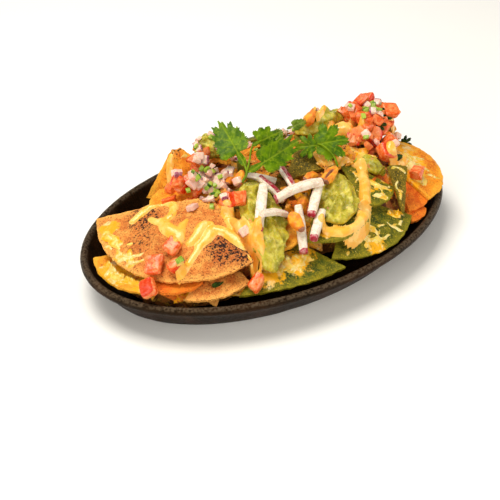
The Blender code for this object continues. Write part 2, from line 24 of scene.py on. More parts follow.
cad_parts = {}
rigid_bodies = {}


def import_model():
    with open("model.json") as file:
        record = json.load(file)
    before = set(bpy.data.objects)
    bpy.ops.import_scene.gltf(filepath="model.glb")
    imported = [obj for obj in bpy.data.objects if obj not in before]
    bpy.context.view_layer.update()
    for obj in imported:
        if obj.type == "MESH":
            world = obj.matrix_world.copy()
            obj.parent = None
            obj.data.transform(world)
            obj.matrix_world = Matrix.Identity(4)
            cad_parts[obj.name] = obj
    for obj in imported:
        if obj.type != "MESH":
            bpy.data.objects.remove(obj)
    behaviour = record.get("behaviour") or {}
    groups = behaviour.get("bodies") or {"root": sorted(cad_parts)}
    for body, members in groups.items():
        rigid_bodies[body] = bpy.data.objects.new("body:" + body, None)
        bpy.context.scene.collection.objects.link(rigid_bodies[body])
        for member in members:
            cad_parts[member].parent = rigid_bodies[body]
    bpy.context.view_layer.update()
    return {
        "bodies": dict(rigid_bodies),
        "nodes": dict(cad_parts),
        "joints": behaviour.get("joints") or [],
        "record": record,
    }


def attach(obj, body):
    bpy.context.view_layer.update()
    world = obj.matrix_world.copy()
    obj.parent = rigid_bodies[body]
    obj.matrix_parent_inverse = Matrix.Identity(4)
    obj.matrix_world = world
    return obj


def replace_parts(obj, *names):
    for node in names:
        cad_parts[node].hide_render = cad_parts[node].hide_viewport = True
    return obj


LOG = logging.getLogger("nachos")
MM = 0.001
SKY = 200.0  # a height above everything
UP = Vector((0.0, 0.0, 1.0))
Point = tuple[float, float]
Place = tuple[float, float, float]
Colour = tuple[float, float, float]
Faces = list[tuple[int, ...]]
Shape = tuple[list[Vector], Faces]  # points, and the points of each face by number
MaskedShape = tuple[list[Vector], Faces, list[float]]  # a shape with a value for each point


def rgb(red: int, green: int, blue: int) -> Colour:
    """Turns a screen colour of 0 to 255 into a linear one."""
    shares = [channel / 255 for channel in (red, green, blue)]
    return tuple(c / 12.92 if c < 0.04 else ((c + 0.055) / 1.055) ** 2.4 for c in shares)


class Value:
    """A socket of a finish, which can be used in plain arithmetic."""

    def __init__(self, paint: Paint, socket: bpy.types.NodeSocket) -> None:
        """Wraps a socket of a paint's tree."""
        self.paint, self.socket = paint, socket

    def _math(self, operation: str, first: Any, second: Any = 0.0, clamp: bool = False) -> Value:
        """Adds a Math node for two values.

        Args:
            operation: the node's operation.
            first: its first value, a number or a socket.
            second: its second value.
            clamp: whether the result is held between 0 and 1.

        Returns:
            The node's result.
        """
        settings = {"operation": operation, "use_clamp": clamp}
        return self.paint.node("ShaderNodeMath", settings, {0: first, 1: second})

    def __add__(self, other: Any) -> Value:
        """This value plus another."""
        return self._math("ADD", self, other)

    def __radd__(self, other: Any) -> Value:
        """Another value plus this one."""
        return self._math("ADD", other, self)

    def __sub__(self, other: Any) -> Value:
        """This value less another."""
        return self._math("SUBTRACT", self, other)

    def __rsub__(self, other: Any) -> Value:
        """Another value less this one."""
        return self._math("SUBTRACT", other, self)

    def __mul__(self, other: Any) -> Value:
        """This value times another."""
        return self._math("MULTIPLY", self, other)

    def __rmul__(self, other: Any) -> Value:
        """Another value times this one."""
        return self._math("MULTIPLY", other, self)

    def held(self) -> Value:
        """This value held between 0 and 1."""
        return self._math("ADD", self, 0.0, clamp=True)

    def between(self, low: float, high: float) -> Value:
        """Rises softly from 0 to 1 as this value goes from low to high."""
        settings = {"interpolation_type": "SMOOTHSTEP", "clamp": True}
        return self.paint.node("ShaderNodeMapRange", settings, {0: self, 1: low, 2: high, 3: 0.0, 4: 1.0})


class Paint:
    """The node tree of one finish."""

    def __init__(self, name: str) -> None:
        """Starts a new material with that name."""
        self.material = bpy.data.materials.new(name)
        self.material.use_nodes = True
        self.tree = self.material.node_tree
        self.shader = self.tree.nodes["Principled BSDF"]
        self.place = self.node("ShaderNodeTexCoord", output="Object")

    def node(
        self,
        kind: str,
        settings: dict[str, Any] | None = None,
        values: dict[str | int, Any] | None = None,
        output: str | int = 0,
    ) -> Value:
        """Adds any node.

        Args:
            kind: the node's type.
            settings: its settings, which are set first.
            values: the numbers, colours or links of its sockets.
            output: which of its outputs is wanted.

        Returns:
            That output.
        """
        made = self.tree.nodes.new(kind)
        for name, setting in (settings or {}).items():
            setattr(made, name, setting)
        for name, value in (values or {}).items():
            self.feed(made.inputs[name], value)
        return Value(self, made.outputs[output])

    def feed(self, socket: bpy.types.NodeSocket, value: Any) -> None:
        """Gives a socket a link, a number or a colour.

        Args:
            socket: the socket to set.
            value: what it gets.
        """
        if isinstance(value, Value):
            self.tree.links.new(value.socket, socket)
        elif isinstance(value, tuple) and socket.type == "RGBA":
            socket.default_value = (*value, 1.0)
        else:
            socket.default_value = value

    def grain(self, size: float, detail: float = 3.0, rough: float = 0.55, wander: float = 0.0) -> Value:
        """Soft uneven noise.

        Args:
            size: the size of its patches in millimetres.
            detail: how many finer layers it has.
            rough: how strong the finer layers are.
            wander: how far it is twisted.

        Returns:
            Its value, mostly between 0.3 and 0.7.
        """
        values = {"Vector": self.place, "Scale": 1 / (size * MM), "Detail": detail, "Roughness": rough}
        return self.node("ShaderNodeTexNoise", {"normalize": True}, {**values, "Distortion": wander})

    def cells(self, size: float, output: str = "Distance") -> Value:
        """Cells like crumbs or seeds.

        Args:
            size: the size of a cell in millimetres.
            output: its distance or its colour.

        Returns:
            That output.
        """
        values = {"Vector": self.place, "Scale": 1 / (size * MM)}
        return self.node("ShaderNodeTexVoronoi", {"feature": "F1"}, values, output)

    def mark(self, name: str) -> Value:
        """A mask that was laid on the mesh's points."""
        return self.node("ShaderNodeAttribute", {"attribute_name": name}, output="Fac")

    def blend(self, share: Any, first: Any, second: Any) -> Value:
        """Mixes two colours.

        Args:
            share: how much of the second colour there is.
            first: the first colour.
            second: the second colour.

        Returns:
            The mixed colour.
        """
        settings = {"data_type": "RGBA", "blend_type": "MIX", "clamp_factor": True}
        return self.node("ShaderNodeMix", settings, {0: share, 6: first, 7: second}, 2)

    def bump(self, height: Any, depth: float, strength: float = 1.0, under: Value | None = None) -> Value:
        """Relief from a height.

        Args:
            height: the relief, between 0 and 1.
            depth: how deep that is in millimetres.
            strength: its share of the full relief.
            under: a coarser relief that this one lies on.

        Returns:
            The bent normal.
        """
        values = {"Height": height, "Distance": depth * MM, "Strength": strength}
        if under:
            values["Normal"] = under
        return self.node("ShaderNodeBump", None, values)

    def finish(self, **sockets: Any) -> bpy.types.Material:
        """Sets the shader's sockets by name, with _ for each space.

        Args:
            sockets: the values or links.

        Returns:
            The finished material.
        """
        for name, value in sockets.items():
            self.feed(self.shader.inputs[name.replace("_", " ")], value)
        return self.material


@dataclass(frozen=True)
class Finish:
    """A food's or the iron's finish, made once."""

    name: str

    def material(self) -> bpy.types.Material:
        """The finish's material."""
        return bpy.data.materials.get(self.name) or self.dress(Paint(self.name))

    def dress(self, paint: Paint) -> bpy.types.Material:
        """Lays this finish's nodes."""
        raise NotImplementedError


@dataclass(frozen=True)
class CastIron(Finish):
    """Seasoned cast iron with a pebbled skin."""

    # The browns of the dark iron and of its wear patches: partly the iron's own colour, partly a painted warm
    # reflection as from a wooden board under the pan.
    dark: Colour = rgb(13, 7, 2)
    worn: Colour = rgb(56, 32, 12)
    stain: Colour = rgb(66, 44, 28)
    # The rim's lighter colour: partly wear, partly a painted highlight along the rim.
    rubbed: Colour = rgb(92, 78, 62)
    sheen: Colour = rgb(206, 168, 130)

    def dress(self, paint: Paint) -> bpy.types.Material:
        """Lays a pebbled relief with wear on the tops, faint rusty stains and a rim lighter from wear and
        from a painted highlight; the browns of the iron carry a painted warm reflection.
        """
        pebbles = paint.cells(1.1).between(0.1, 0.75)
        patches = paint.grain(22.0, 4.0)
        # Patches of wear, in a brown that is partly a painted warm reflection.
        colour = paint.blend(patches.between(0.4, 0.68) * 0.5 + (1 - pebbles) * 0.25, self.dark, self.worn)
        colour = paint.blend(paint.grain(9.0).between(0.55, 0.75) * 0.35, colour, self.stain)
        # The rim band, painted lighter: partly wear, partly a painted highlight; its lower roughness is real
        # shine.
        rim = paint.mark("rim") * paint.grain(1.6, 4.0).between(0.35, 0.6)
        colour = paint.blend(rim * 0.7, colour, self.rubbed)
        normal = paint.bump(pebbles + paint.grain(0.5) * 0.6, 0.16, 0.7)
        normal = paint.bump(paint.grain(6.0), 0.3, 0.4, normal)
        rough = 0.36 + paint.grain(3.0) * 0.3 - rim * 0.14
        shine = {"Specular_IOR_Level": 0.22, "Specular_Tint": self.sheen}
        return paint.finish(Base_Color=colour, Roughness=rough, Normal=normal, **shine)


@dataclass(frozen=True)
class FriedChip(Finish):
    """A fried tortilla chip, with its grain, flecks, pale rim, toasted patches and melted cheese."""

    base: Colour = rgb(246, 152, 28)
    pale: Colour = rgb(254, 190, 58)
    deep: Colour = rgb(214, 106, 16)
    fleck: Colour = rgb(120, 46, 8)
    fleck_share: float = 0.25
    rim: float = 0.6
    toasted: Colour = rgb(176, 88, 36)
    burnt: Colour = rgb(30, 14, 8)
    cheese: Colour = rgb(244, 174, 22)
    cheese_pale: Colour = rgb(244, 218, 150)

    def dress(self, paint: Paint) -> bpy.types.Material:
        """Lays the dough, its char and the cheese melted on it, with a crumbly relief."""
        fine = paint.grain(1.3, 4.0, 0.7)
        pits = paint.cells(1.9).between(0.34, 0.1) * paint.grain(6.0, 2.0).between(0.4, 0.62)
        colour = self.charred(paint, self.fried(paint, fine, pits))
        laid_on = paint.mark("cheese")
        ragged = laid_on + (paint.grain(4.0, 4.0, 0.65) - 0.5) * 1.4
        melt = ragged.between(0.38, 0.62) * laid_on.between(0.02, 0.2)
        white = paint.grain(6.0, 3.0, 0.6, 0.6).between(0.5, 0.68)
        colour = paint.blend(melt * 0.9, colour, paint.blend(white, self.cheese, self.cheese_pale))
        crumbs = paint.bump(fine - pits * 0.4, 0.6, 0.8)
        normal = paint.bump(paint.grain(4.5, 3.0), 1.2, 0.6, crumbs)
        rough = 0.66 - melt * 0.36 - paint.grain(8.0).between(0.5, 0.7) * 0.14
        return paint.finish(Base_Color=colour, Roughness=rough, Normal=normal, Specular_IOR_Level=0.22)

    def fried(self, paint: Paint, fine: Value, pits: Value) -> Value:
        """The dough's colours, from the coarse patches down to the flecks.

        Args:
            paint: the tree.
            fine: the fine grain of its surface.
            pits: its small blisters.

        Returns:
            The colour.
        """
        colour = paint.blend(paint.grain(16.0, 5.0, 0.6).between(0.34, 0.66), self.deep, self.base)
        colour = paint.blend(paint.grain(5.0, 4.0).between(0.42, 0.72) * 0.6, colour, self.pale)
        colour = paint.blend(paint.grain(1.2, 3.0, 0.7).between(0.5, 0.66) * 0.55, colour, self.pale)
        colour = paint.blend((1 - paint.mark("edge")) * self.rim, colour, self.pale)
        colour = paint.blend(fine.between(0.5, 0.3) * 0.4, colour, self.deep)
        flecks = paint.grain(0.9, 2.0, 0.6).between(0.6 - 0.12 * self.fleck_share, 0.72)
        colour = paint.blend(flecks * min(1.0, 0.4 + self.fleck_share), colour, self.fleck)
        return paint.blend(pits * 0.55, colour, self.fleck)

    def charred(self, paint: Paint, colour: Value) -> Value:
        """Lays the toasted patches and the burnt grit where the chip's mask says so."""
        char = paint.mark("char")
        toast = (char * 1.3 + (paint.grain(7.0, 4.0) - 0.5) * 0.9).held()
        colour = paint.blend(toast.between(0.2, 0.9) * 0.5, colour, self.toasted)
        grit = paint.grain(1.5, 3.0, 0.7) + char * 0.17
        return paint.blend(grit.between(0.62, 0.68) * char.between(0.1, 0.5), colour, self.burnt)


@dataclass(frozen=True)
class Core(Finish):
    """The dark heart of the heap: crushed chips with cheese between them."""

    shade: Colour = rgb(92, 42, 14)
    crumb: Colour = rgb(206, 122, 40)
    cheese: Colour = rgb(240, 178, 60)
    burnt: Colour = rgb(70, 30, 10)

    def dress(self, paint: Paint) -> bpy.types.Material:
        """Lays crumbs of several browns with yellow threads."""
        patch = paint.cells(7.0, "Color")
        tone = paint.node("ShaderNodeSeparateColor", None, {0: patch})
        colour = paint.blend(tone, self.shade, self.crumb)
        colour = paint.blend(paint.grain(5.0, 4.0, 0.65).between(0.52, 0.66), colour, self.cheese)
        colour = paint.blend(paint.grain(1.0, 3.0).between(0.6, 0.7), colour, self.burnt)
        normal = paint.bump(paint.cells(3.0) + paint.grain(1.0), 1.2, 0.8)
        return paint.finish(Base_Color=colour, Roughness=0.6, Normal=normal)


@dataclass(frozen=True)
class Mash(Finish):
    """Guacamole or green salsa: a glossy mash with darker flecks and pink bits."""

    base: Colour = rgb(196, 180, 46)
    pale: Colour = rgb(226, 214, 98)
    deep: Colour = rgb(140, 134, 16)
    fleck: Colour = rgb(70, 84, 14)
    bits: Colour = rgb(206, 120, 84)

    def dress(self, paint: Paint) -> bpy.types.Material:
        """Lays the mash's greens, its flecks and a wet, lumpy relief."""
        colour = paint.blend(paint.grain(9.0, 4.0, 0.6, 0.5).between(0.36, 0.62), self.deep, self.base)
        colour = paint.blend(paint.grain(3.5, 4.0, 0.6, 0.3).between(0.48, 0.68) * 0.8, colour, self.pale)
        colour = paint.blend(paint.grain(1.6, 2.0).between(0.66, 0.74) * 0.75, colour, self.fleck)
        colour = paint.blend(paint.grain(4.2, 1.0).between(0.7, 0.76) * 0.7, colour, self.bits)
        normal = paint.bump(paint.grain(2.2, 4.0, 0.6), 1.0, 0.7)
        rough = 0.22 + paint.grain(2.5).between(0.4, 0.7) * 0.3
        soft = {"Subsurface_Weight": 0.15, "Subsurface_Scale": 0.002}
        return paint.finish(Base_Color=colour, Roughness=rough, Normal=normal, **soft)


@dataclass(frozen=True)
class Vegetable(Finish):
    """A cut piece of vegetable: wet flesh, veins and a coloured skin where its mask says so."""

    flesh: Colour = rgb(240, 232, 214)
    shade: Colour = rgb(214, 200, 178)
    skin: Colour = rgb(170, 14, 60)
    vein_size: float = 3.0
    soft: float = 0.2
    shine: float = 0.3
    relief: float = 0.3

    def dress(self, paint: Paint) -> bpy.types.Material:
        """Lays flesh with faint streaks, then the skin."""
        skin = paint.mark("skin")
        streak = paint.grain(self.vein_size, 4.0, 0.6, 1.2)
        colour = paint.blend(streak.between(0.42, 0.64), self.flesh, self.shade)
        colour = paint.blend(paint.mark("tone"), colour, self.shade)
        rim = (skin + (paint.grain(1.4) - 0.5) * 0.3).between(0.42, 0.58)
        patchy = paint.blend(paint.grain(2.0).between(0.4, 0.7) * 0.4, self.skin, self.flesh)
        colour = paint.blend(rim, colour, patchy)
        normal = paint.bump(paint.grain(1.8, 4.0), self.relief, 0.5)
        rough = self.shine + paint.grain(2.0) * 0.25
        soft = {"Subsurface_Weight": self.soft, "Subsurface_Scale": 0.002}
        return paint.finish(Base_Color=colour, Roughness=rough, Normal=normal, **soft)


@dataclass(frozen=True)
class ToastedCorn(Finish):
    """A toasted corn kernel: golden, blistered, brown at its tip and in its split."""

    orange: Colour = rgb(226, 118, 10)
    gold: Colour = rgb(252, 172, 34)
    blister: Colour = rgb(176, 84, 14)
    hull: Colour = rgb(84, 34, 12)
    hull_pale: Colour = rgb(196, 128, 92)

    def dress(self, paint: Paint) -> bpy.types.Material:
        """Lays gold with orange patches, brown at the marked places."""
        colour = paint.blend(paint.grain(4.0, 4.0, 0.6).between(0.38, 0.64), self.orange, self.gold)
        colour = paint.blend(paint.grain(1.5).between(0.62, 0.72) * 0.6, colour, self.blister)
        brown = (paint.mark("skin") + (paint.grain(1.5, 3.0) - 0.5) * 0.6).between(0.4, 0.7)
        colour = paint.blend(brown, colour, paint.blend(paint.grain(1.2), self.hull, self.hull_pale))
        normal = paint.bump(paint.grain(2.4, 4.0, 0.6), 0.7, 0.7)
        return paint.finish(Base_Color=colour, Roughness=0.38 + paint.grain(2.0) * 0.3, Normal=normal)


@dataclass(frozen=True)
class Goo(Finish):
    """A poured sauce or melted cheese."""

    base: Colour = rgb(252, 182, 64)
    pale: Colour = rgb(254, 204, 108)
    spots: Colour = rgb(204, 60, 20)
    spot_share: float = 1.0
    patch: float = 9.0
    shine: float = 0.16
    relief: float = 0.15

    def dress(self, paint: Paint) -> bpy.types.Material:
        """Lays a smooth body with paler streaks and small specks."""
        colour = paint.blend(paint.grain(self.patch, 3.0, 0.55, 0.8).between(0.4, 0.62), self.base, self.pale)
        specks = paint.cells(3.4).between(0.16, 0.08) * paint.grain(11.0).between(0.5, 0.62)
        colour = paint.blend(specks * self.spot_share, colour, self.spots)
        normal = paint.bump(paint.grain(3.0, 4.0, 0.6), self.relief, 0.6)
        rough = self.shine + paint.grain(5.0).between(0.45, 0.7) * 0.16
        soft = {"Subsurface_Weight": 0.25, "Subsurface_Scale": 0.003}
        return paint.finish(Base_Color=colour, Roughness=rough, Normal=normal, **soft)


@dataclass(frozen=True)
class Herb(Finish):
    """A fresh leaf or stem with light veins."""

    base: Colour = rgb(100, 132, 1)
    pale: Colour = rgb(156, 176, 30)
    deep: Colour = rgb(56, 92, 1)

    def dress(self, paint: Paint) -> bpy.types.Material:
        """Lays the leaf's greens, its veins and a fine crinkle."""
        colour = paint.blend(paint.grain(7.0, 4.0).between(0.36, 0.66), self.deep, self.base)
        colour = paint.blend(paint.grain(2.0, 3.0).between(0.5, 0.75) * 0.5, colour, self.pale)
        colour = paint.blend(paint.mark("vein") * 0.45, colour, self.pale)
        normal = paint.bump(paint.grain(1.6, 3.0) - paint.mark("vein") * 0.6, 0.35, 0.7)
        return paint.finish(Base_Color=colour, Roughness=0.42, Normal=normal, Specular_IOR_Level=0.12)


@dataclass(frozen=True)
class PaleFloor(Finish):
    """The plain floor."""

    base: Colour = rgb(248, 248, 247)
    pale: Colour = rgb(251, 251, 250)

    def dress(self, paint: Paint) -> bpy.types.Material:
        """Lays an almost white, matt colour with the faintest cloud."""
        colour = paint.blend(paint.grain(200.0), self.base, self.pale)
        return paint.finish(Base_Color=colour, Roughness=0.9, Specular_IOR_Level=0.1)


class Dough(Enum):
    """The kinds of tortilla chip."""

    CORN = FriedChip("corn_chip")
    TOASTED = FriedChip(
        "toasted_chip", rgb(228, 138, 58), rgb(252, 188, 92), rgb(194, 100, 36), rgb(126, 52, 14), 0.8, 0.75
    )
    CHILLI = FriedChip(
        "chilli_chip", rgb(236, 112, 20), rgb(250, 150, 42), rgb(204, 80, 10), rgb(124, 40, 4), 0.3, 0.3
    )
    SPINACH = FriedChip(
        "spinach_chip", rgb(66, 80, 8), rgb(150, 138, 22), rgb(36, 52, 6), rgb(206, 170, 30), 0.3, 0.6
    )
    OLIVE = FriedChip(
        "olive_chip", rgb(82, 72, 8), rgb(132, 110, 20), rgb(50, 48, 4), rgb(196, 156, 40), 0.55, 0.5
    )

    def slot(self) -> str:
        """The record's slot for this dough."""
        return "spinach" if self is Dough.OLIVE else self.name.lower()


GUACAMOLE = Mash("guacamole_mash")
SALSA_GREEN = Mash("green_salsa_mash", rgb(178, 166, 30), rgb(212, 200, 72), rgb(128, 122, 12))
RADISH = Vegetable(
    "radish_flesh", rgb(242, 230, 212), rgb(222, 200, 176), rgb(170, 6, 48), 2.6, 0.2, 0.26, 0.16
)
TOMATO = Vegetable("tomato_flesh", rgb(230, 88, 20), rgb(242, 148, 84), rgb(214, 56, 4), 4.0, 0.15, 0.14, 0.6)
ONION = Vegetable(
    "onion_flesh", rgb(246, 218, 196), rgb(236, 186, 166), rgb(142, 30, 82), 1.6, 0.25, 0.18, 0.3
)
SPRING = Vegetable("green_onion", rgb(126, 160, 26), rgb(176, 196, 70), rgb(52, 108, 16), 1.4, 0.1, 0.25, 0.2)
KERNEL = ToastedCorn("toasted_kernel")
SAUCE = Goo("cheese_sauce")
CHEESE = Goo("melted_cheese", rgb(236, 170, 14), rgb(240, 206, 96), rgb(196, 116, 16), 0.4, 6.0, 0.22, 0.6)
CHEESE_PALE = Goo(
    "pale_cheese", rgb(218, 176, 52), rgb(238, 214, 142), rgb(196, 146, 24), 0.3, 4.0, 0.22, 0.5
)
LEAF = Herb("coriander_leaf")
LEAF_PALE = Herb("coriander_pale", rgb(112, 136, 34), rgb(160, 176, 80), rgb(80, 110, 20))
LEAF_DARK = Herb("dark_leaf", rgb(32, 56, 4), rgb(78, 104, 20), rgb(14, 30, 2))


def smooth(x: float) -> float:
    """A soft step from 0 to 1."""
    x = min(1.0, max(0.0, x))
    return x * x * (3 - 2 * x)


def wave(point: Vector, size: float, seed: float = 0.0) -> float:
    """Smooth noise of about -1 to 1 at a point, with patches of that size."""
    return noise.noise(point / size + Vector((seed, seed * 1.7, seed * 0.6)))


class Clay:
    """A mesh in millimetres that is still being shaped."""

    def __init__(self, body: bmesh.types.BMesh | None = None) -> None:
        """Starts from a mesh, or from nothing."""
        self.body = body or bmesh.new()

    @staticmethod
    def from_node(node: bpy.types.Object) -> Clay:
        """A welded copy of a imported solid.

        Args:
            node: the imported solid.

        Returns:
            The copy, with its triangles joined into larger faces.
        """
        body = bmesh.new()
        corners = [body.verts.new(v.co / MM) for v in node.data.vertices]
        for face in node.data.polygons:
            body.faces.new([corners[i] for i in face.vertices])
        bmesh.ops.remove_doubles(body, verts=body.verts, dist=0.01)
        bmesh.ops.recalc_face_normals(body, faces=body.faces)
        bmesh.ops.join_triangles(body, faces=body.faces, angle_face_threshold=0.5, angle_shape_threshold=1.2)
        return Clay(body)

    def middle(self) -> Vector:
        """The middle of its points."""
        return sum((v.co for v in self.body.verts), Vector()) / len(self.body.verts)

    def lengthways(self) -> tuple[Vector, Vector]:
        """The middle of its points and the direction in which it is longest."""
        points = np.array([v.co for v in self.body.verts])
        return Vector(points.mean(0)), Vector(np.linalg.svd(points - points.mean(0))[2][0])

    def refined(self, levels: int, crease: float = 1.0, sharp: float = 45.0, corner: float = 0.0) -> Clay:
        """Subdivides the shape smoothly.

        Args:
            levels: how many times.
            crease: how sharp its hard edges stay.
            sharp: the least turn of a hard edge, in degrees.
            corner: how sharp the corners of its outline stay.

        Returns:
            The finer shape.
        """
        self.crease(crease, math.radians(sharp), corner)
        mesh = bpy.data.meshes.new("work")
        self.body.to_mesh(mesh)
        self.body.free()
        work = bpy.data.objects.new("work", mesh)
        bpy.context.scene.collection.objects.link(work)
        modifier = work.modifiers.new("fine", "SUBSURF")
        modifier.levels = modifier.render_levels = levels
        graph = bpy.context.evaluated_depsgraph_get()
        fine = bpy.data.meshes.new_from_object(work.evaluated_get(graph))
        self.body = bmesh.new()
        self.body.from_mesh(fine)
        bpy.data.objects.remove(work)
        bpy.data.meshes.remove(mesh)
        bpy.data.meshes.remove(fine)
        for layer in (self.body.edges.layers.float, self.body.verts.layers.float):
            for name in list(layer.keys()):
                layer.remove(layer[name])
        return self

    def crease(self, crease: float, sharp: float, corner: float, least_turn: float = 35.0) -> None:
        """Marks the hard edges and the corners of an outline for subdividing.

        Args:
            crease: how sharp the hard edges stay.
            sharp: the least turn of a hard edge, in radians.
            corner: how sharp the corners stay.
            least_turn: the least turn of a corner, in degrees.
        """
        edge_crease = self.body.edges.layers.float.new("crease_edge")
        corner_crease = self.body.verts.layers.float.new("crease_vert")
        for edge in self.body.edges:
            if len(edge.link_faces) == 2 and edge.calc_face_angle(0) > sharp:
                edge[edge_crease] = crease
        if not corner:
            return
        for vert in self.body.verts:
            hard = [e.other_vert(vert).co - vert.co for e in vert.link_edges if e[edge_crease] > 0]
            pairs = [(a, b) for i, a in enumerate(hard) for b in hard[:i] if a.length and b.length]
            if pairs and min(math.pi - a.angle(b) for a, b in pairs) > math.radians(least_turn):
                vert[corner_crease] = corner

    def push(self, move: Callable[[Vector, Vector], Vector]) -> Clay:
        """Moves every point by what a rule gives for its place and normal.

        Args:
            move: the rule.

        Returns:
            This shape.
        """
        self.body.normal_update()
        shifts = [move(v.co, v.normal) for v in self.body.verts]
        for vert, shift in zip(self.body.verts, shifts):
            vert.co += shift
        return self

    def mark(self, name: str, rule: Callable[[bmesh.types.BMVert], float]) -> Clay:
        """Lays a mask on the points.

        Args:
            name: the mask's name.
            rule: gives its value at a point.

        Returns:
            This shape.
        """
        layer = self.body.verts.layers.float.get(name) or self.body.verts.layers.float.new(name)
        for vert in self.body.verts:
            vert[layer] = rule(vert)
        return self

    def add(self, points: Iterable[Vector], faces: Iterable[Sequence[int]], **marks: Sequence[float]) -> None:
        """Adds a loose shape of points and faces, with masks for its points.

        Args:
            points: the points.
            faces: the points of each face, by number.
            marks: one value for each point, or one for all, for each mask.
        """
        for name in marks:
            if not self.body.verts.layers.float.get(name):
                self.body.verts.layers.float.new(name)
        made = [self.body.verts.new(p) for p in points]
        for name, values in marks.items():
            layer = self.body.verts.layers.float[name]
            for i, vert in enumerate(made):
                vert[layer] = values if isinstance(values, (int, float)) else values[i]
        for face in faces:
            if len(set(face)) > 2:
                self.body.faces.new([made[i] for i in face])

    def piece(self, name: str, finish: Finish, slot: str, sharp: float = 60.0) -> bpy.types.Object:
        """Turns the shape into a piece that rides on the pan.

        Args:
            name: the piece's name.
            finish: its finish.
            slot: the record's slot that the finish stands for; not used.
            sharp: the least turn of an edge that isn't smoothed, in degrees.

        Returns:
            The piece.
        """
        bmesh.ops.recalc_face_normals(self.body, faces=self.body.faces)
        bmesh.ops.scale(self.body, vec=(MM, MM, MM), verts=self.body.verts)
        mesh = bpy.data.meshes.new(name)
        self.body.to_mesh(mesh)
        self.body.free()
        mesh.shade_smooth()
        mesh.set_sharp_from_angle(angle=math.radians(sharp))
        mesh.materials.append(finish.material())
        made = bpy.data.objects.new(name, mesh)
        bpy.context.scene.collection.objects.link(made)
        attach(made, "root")
        LOG.info("%s: %d faces", name, len(mesh.polygons))
        return made


class Heap:
    """Everything laid so far, for later pieces to rest on."""

    def __init__(self) -> None:
        """Starts with nothing laid."""
        self.points: list[Vector] = []
        self.faces: list[tuple[int, ...]] = []
        self.owners: list[str] = []
        self.tree: BVHTree | None = None

    def lay(self, *pieces: bpy.types.Object) -> None:
        """Adds finished pieces.

        Args:
            pieces: what is laid.
        """
        for piece in pieces:
            first = len(self.points)
            self.points += [v.co / MM for v in piece.data.vertices]
            self.faces += [tuple(i + first for i in p.vertices) for p in piece.data.polygons]
            self.owners += [piece.name] * len(piece.data.polygons)
        self.tree = BVHTree.FromPolygons(self.points, self.faces)

    def hit(self, x: float, y: float) -> tuple[float, Vector, str]:
        """What lies highest at a place.

        Args:
            x: the place along the pan.
            y: the place across it.

        Returns:
            Its height, its upward normal and its name.
        """
        where, normal, index, _ = self.tree.ray_cast(Vector((x, y, SKY)), -UP)
        if where is None:
            return 0.0, UP.copy(), ""
        return where.z, normal if normal.z > 0 else -normal, self.owners[index]

    def rest(self, x: float, y: float, reach: float) -> tuple[float, Vector]:
        """How a small piece lies at a place, never steeper than it would stay.

        Args:
            x: the place along the pan.
            y: the place across it.
            reach: half the piece's size.

        Returns:
            The height of the surface and its upward normal.
        """
        steps = ((reach, 0), (-reach, 0), (0, reach), (0, -reach))
        a, b, c, d = (self.hit(x + dx, y + dy)[0] for dx, dy in steps)
        normal = Vector((b - a, d - c, 2 * reach)).normalized()
        if normal.z < 0.7:
            normal = Vector((normal.x, normal.y, 0)).normalized() * 0.714 + UP * 0.7
        return max(self.hit(x, y)[0], (a + b + c + d) / 4), normal


def around(angle: float, reach: float = 1.0) -> Vector:
    """A flat vector at an angle in degrees, that long."""
    turn = math.radians(angle)
    return Vector((reach * math.cos(turn), reach * math.sin(turn), 0))


def scattered(chance: random.Random, x: float, y: float, along: float, across: float) -> Place:
    """A random place in an oval patch.

    Args:
        chance: the seeded source of the place.
        x: the patch's middle along the pan.
        y: its middle across it.
        along: its reach along the pan.
        across: its reach across it.

    Returns:
        The place, and how far out in the patch it is, from 0 to 1.
    """
    turn, share = chance.uniform(0, math.tau), math.sqrt(chance.random())
    return x + along * share * math.cos(turn), y + across * share * math.sin(turn), share


def fan(
    outline: Sequence[Vector], rings: int, thickness: float, lift: Callable[[float, float], float]
) -> MaskedShape:
    """A thin closed sheet with a star-shaped outline.

    Args:
        outline: its rim in its own plane.
        rings: how many rings of faces it has.
        thickness: its thickness.
        lift: how far its plane bends up at a place.

    Returns:
        Its points, its faces and how far each point is from the rim, from 0 to 1.
    """
    count = len(outline)
    points, faces, inner = [], [], []
    for side, at_rim in ((0, 0.2), (1, 0.8)):
        start = len(points)
        points.append(Vector((0, 0, lift(0, 0) - side * thickness)))
        inner.append(1.0)
        for ring in range(1, rings + 1):
            share = ring / rings
            drop = thickness * (at_rim if ring == rings else side)
            for spot in outline:
                x, y = spot.x * share, spot.y * share
                points.append(Vector((x, y, lift(x, y) - drop)))
                inner.append(1 - share)
        for k in range(count):
            nxt = (k + 1) % count
            faces.append((start, start + 1 + k, start + 1 + nxt))
            for ring in range(rings - 1):
                low = start + 1 + ring * count
                faces.append((low + k, low + count + k, low + count + nxt, low + nxt))
    last = 1 + (rings - 1) * count
    other = 1 + rings * count + last
    for k in range(count):
        nxt = (k + 1) % count
        faces.append((last + k, other + k, other + nxt, last + nxt))
    return points, faces, inner


def aim(place: Vector, along: Vector, up: Vector) -> Matrix:
    """The frame at a place whose X lies along one direction and whose Z leans to another.

    Args:
        place: its origin.
        along: its X.
        up: where its Z leans.

    Returns:
        The matrix.
    """
    x = along.normalized()
    y = up.cross(x).normalized()
    z = x.cross(y)
    turn = Matrix((x, y, z)).transposed().to_4x4()
    return Matrix.Translation(place) @ turn


def laid(place: Vector, normal: Vector, heading: float) -> Matrix:
    """The frame of a piece that lies on a slope, turned by a heading in degrees."""
    lean = UP.rotation_difference(normal).to_matrix().to_4x4()
    return Matrix.Translation(place) @ lean @ Matrix.Rotation(math.radians(heading), 4, "Z")


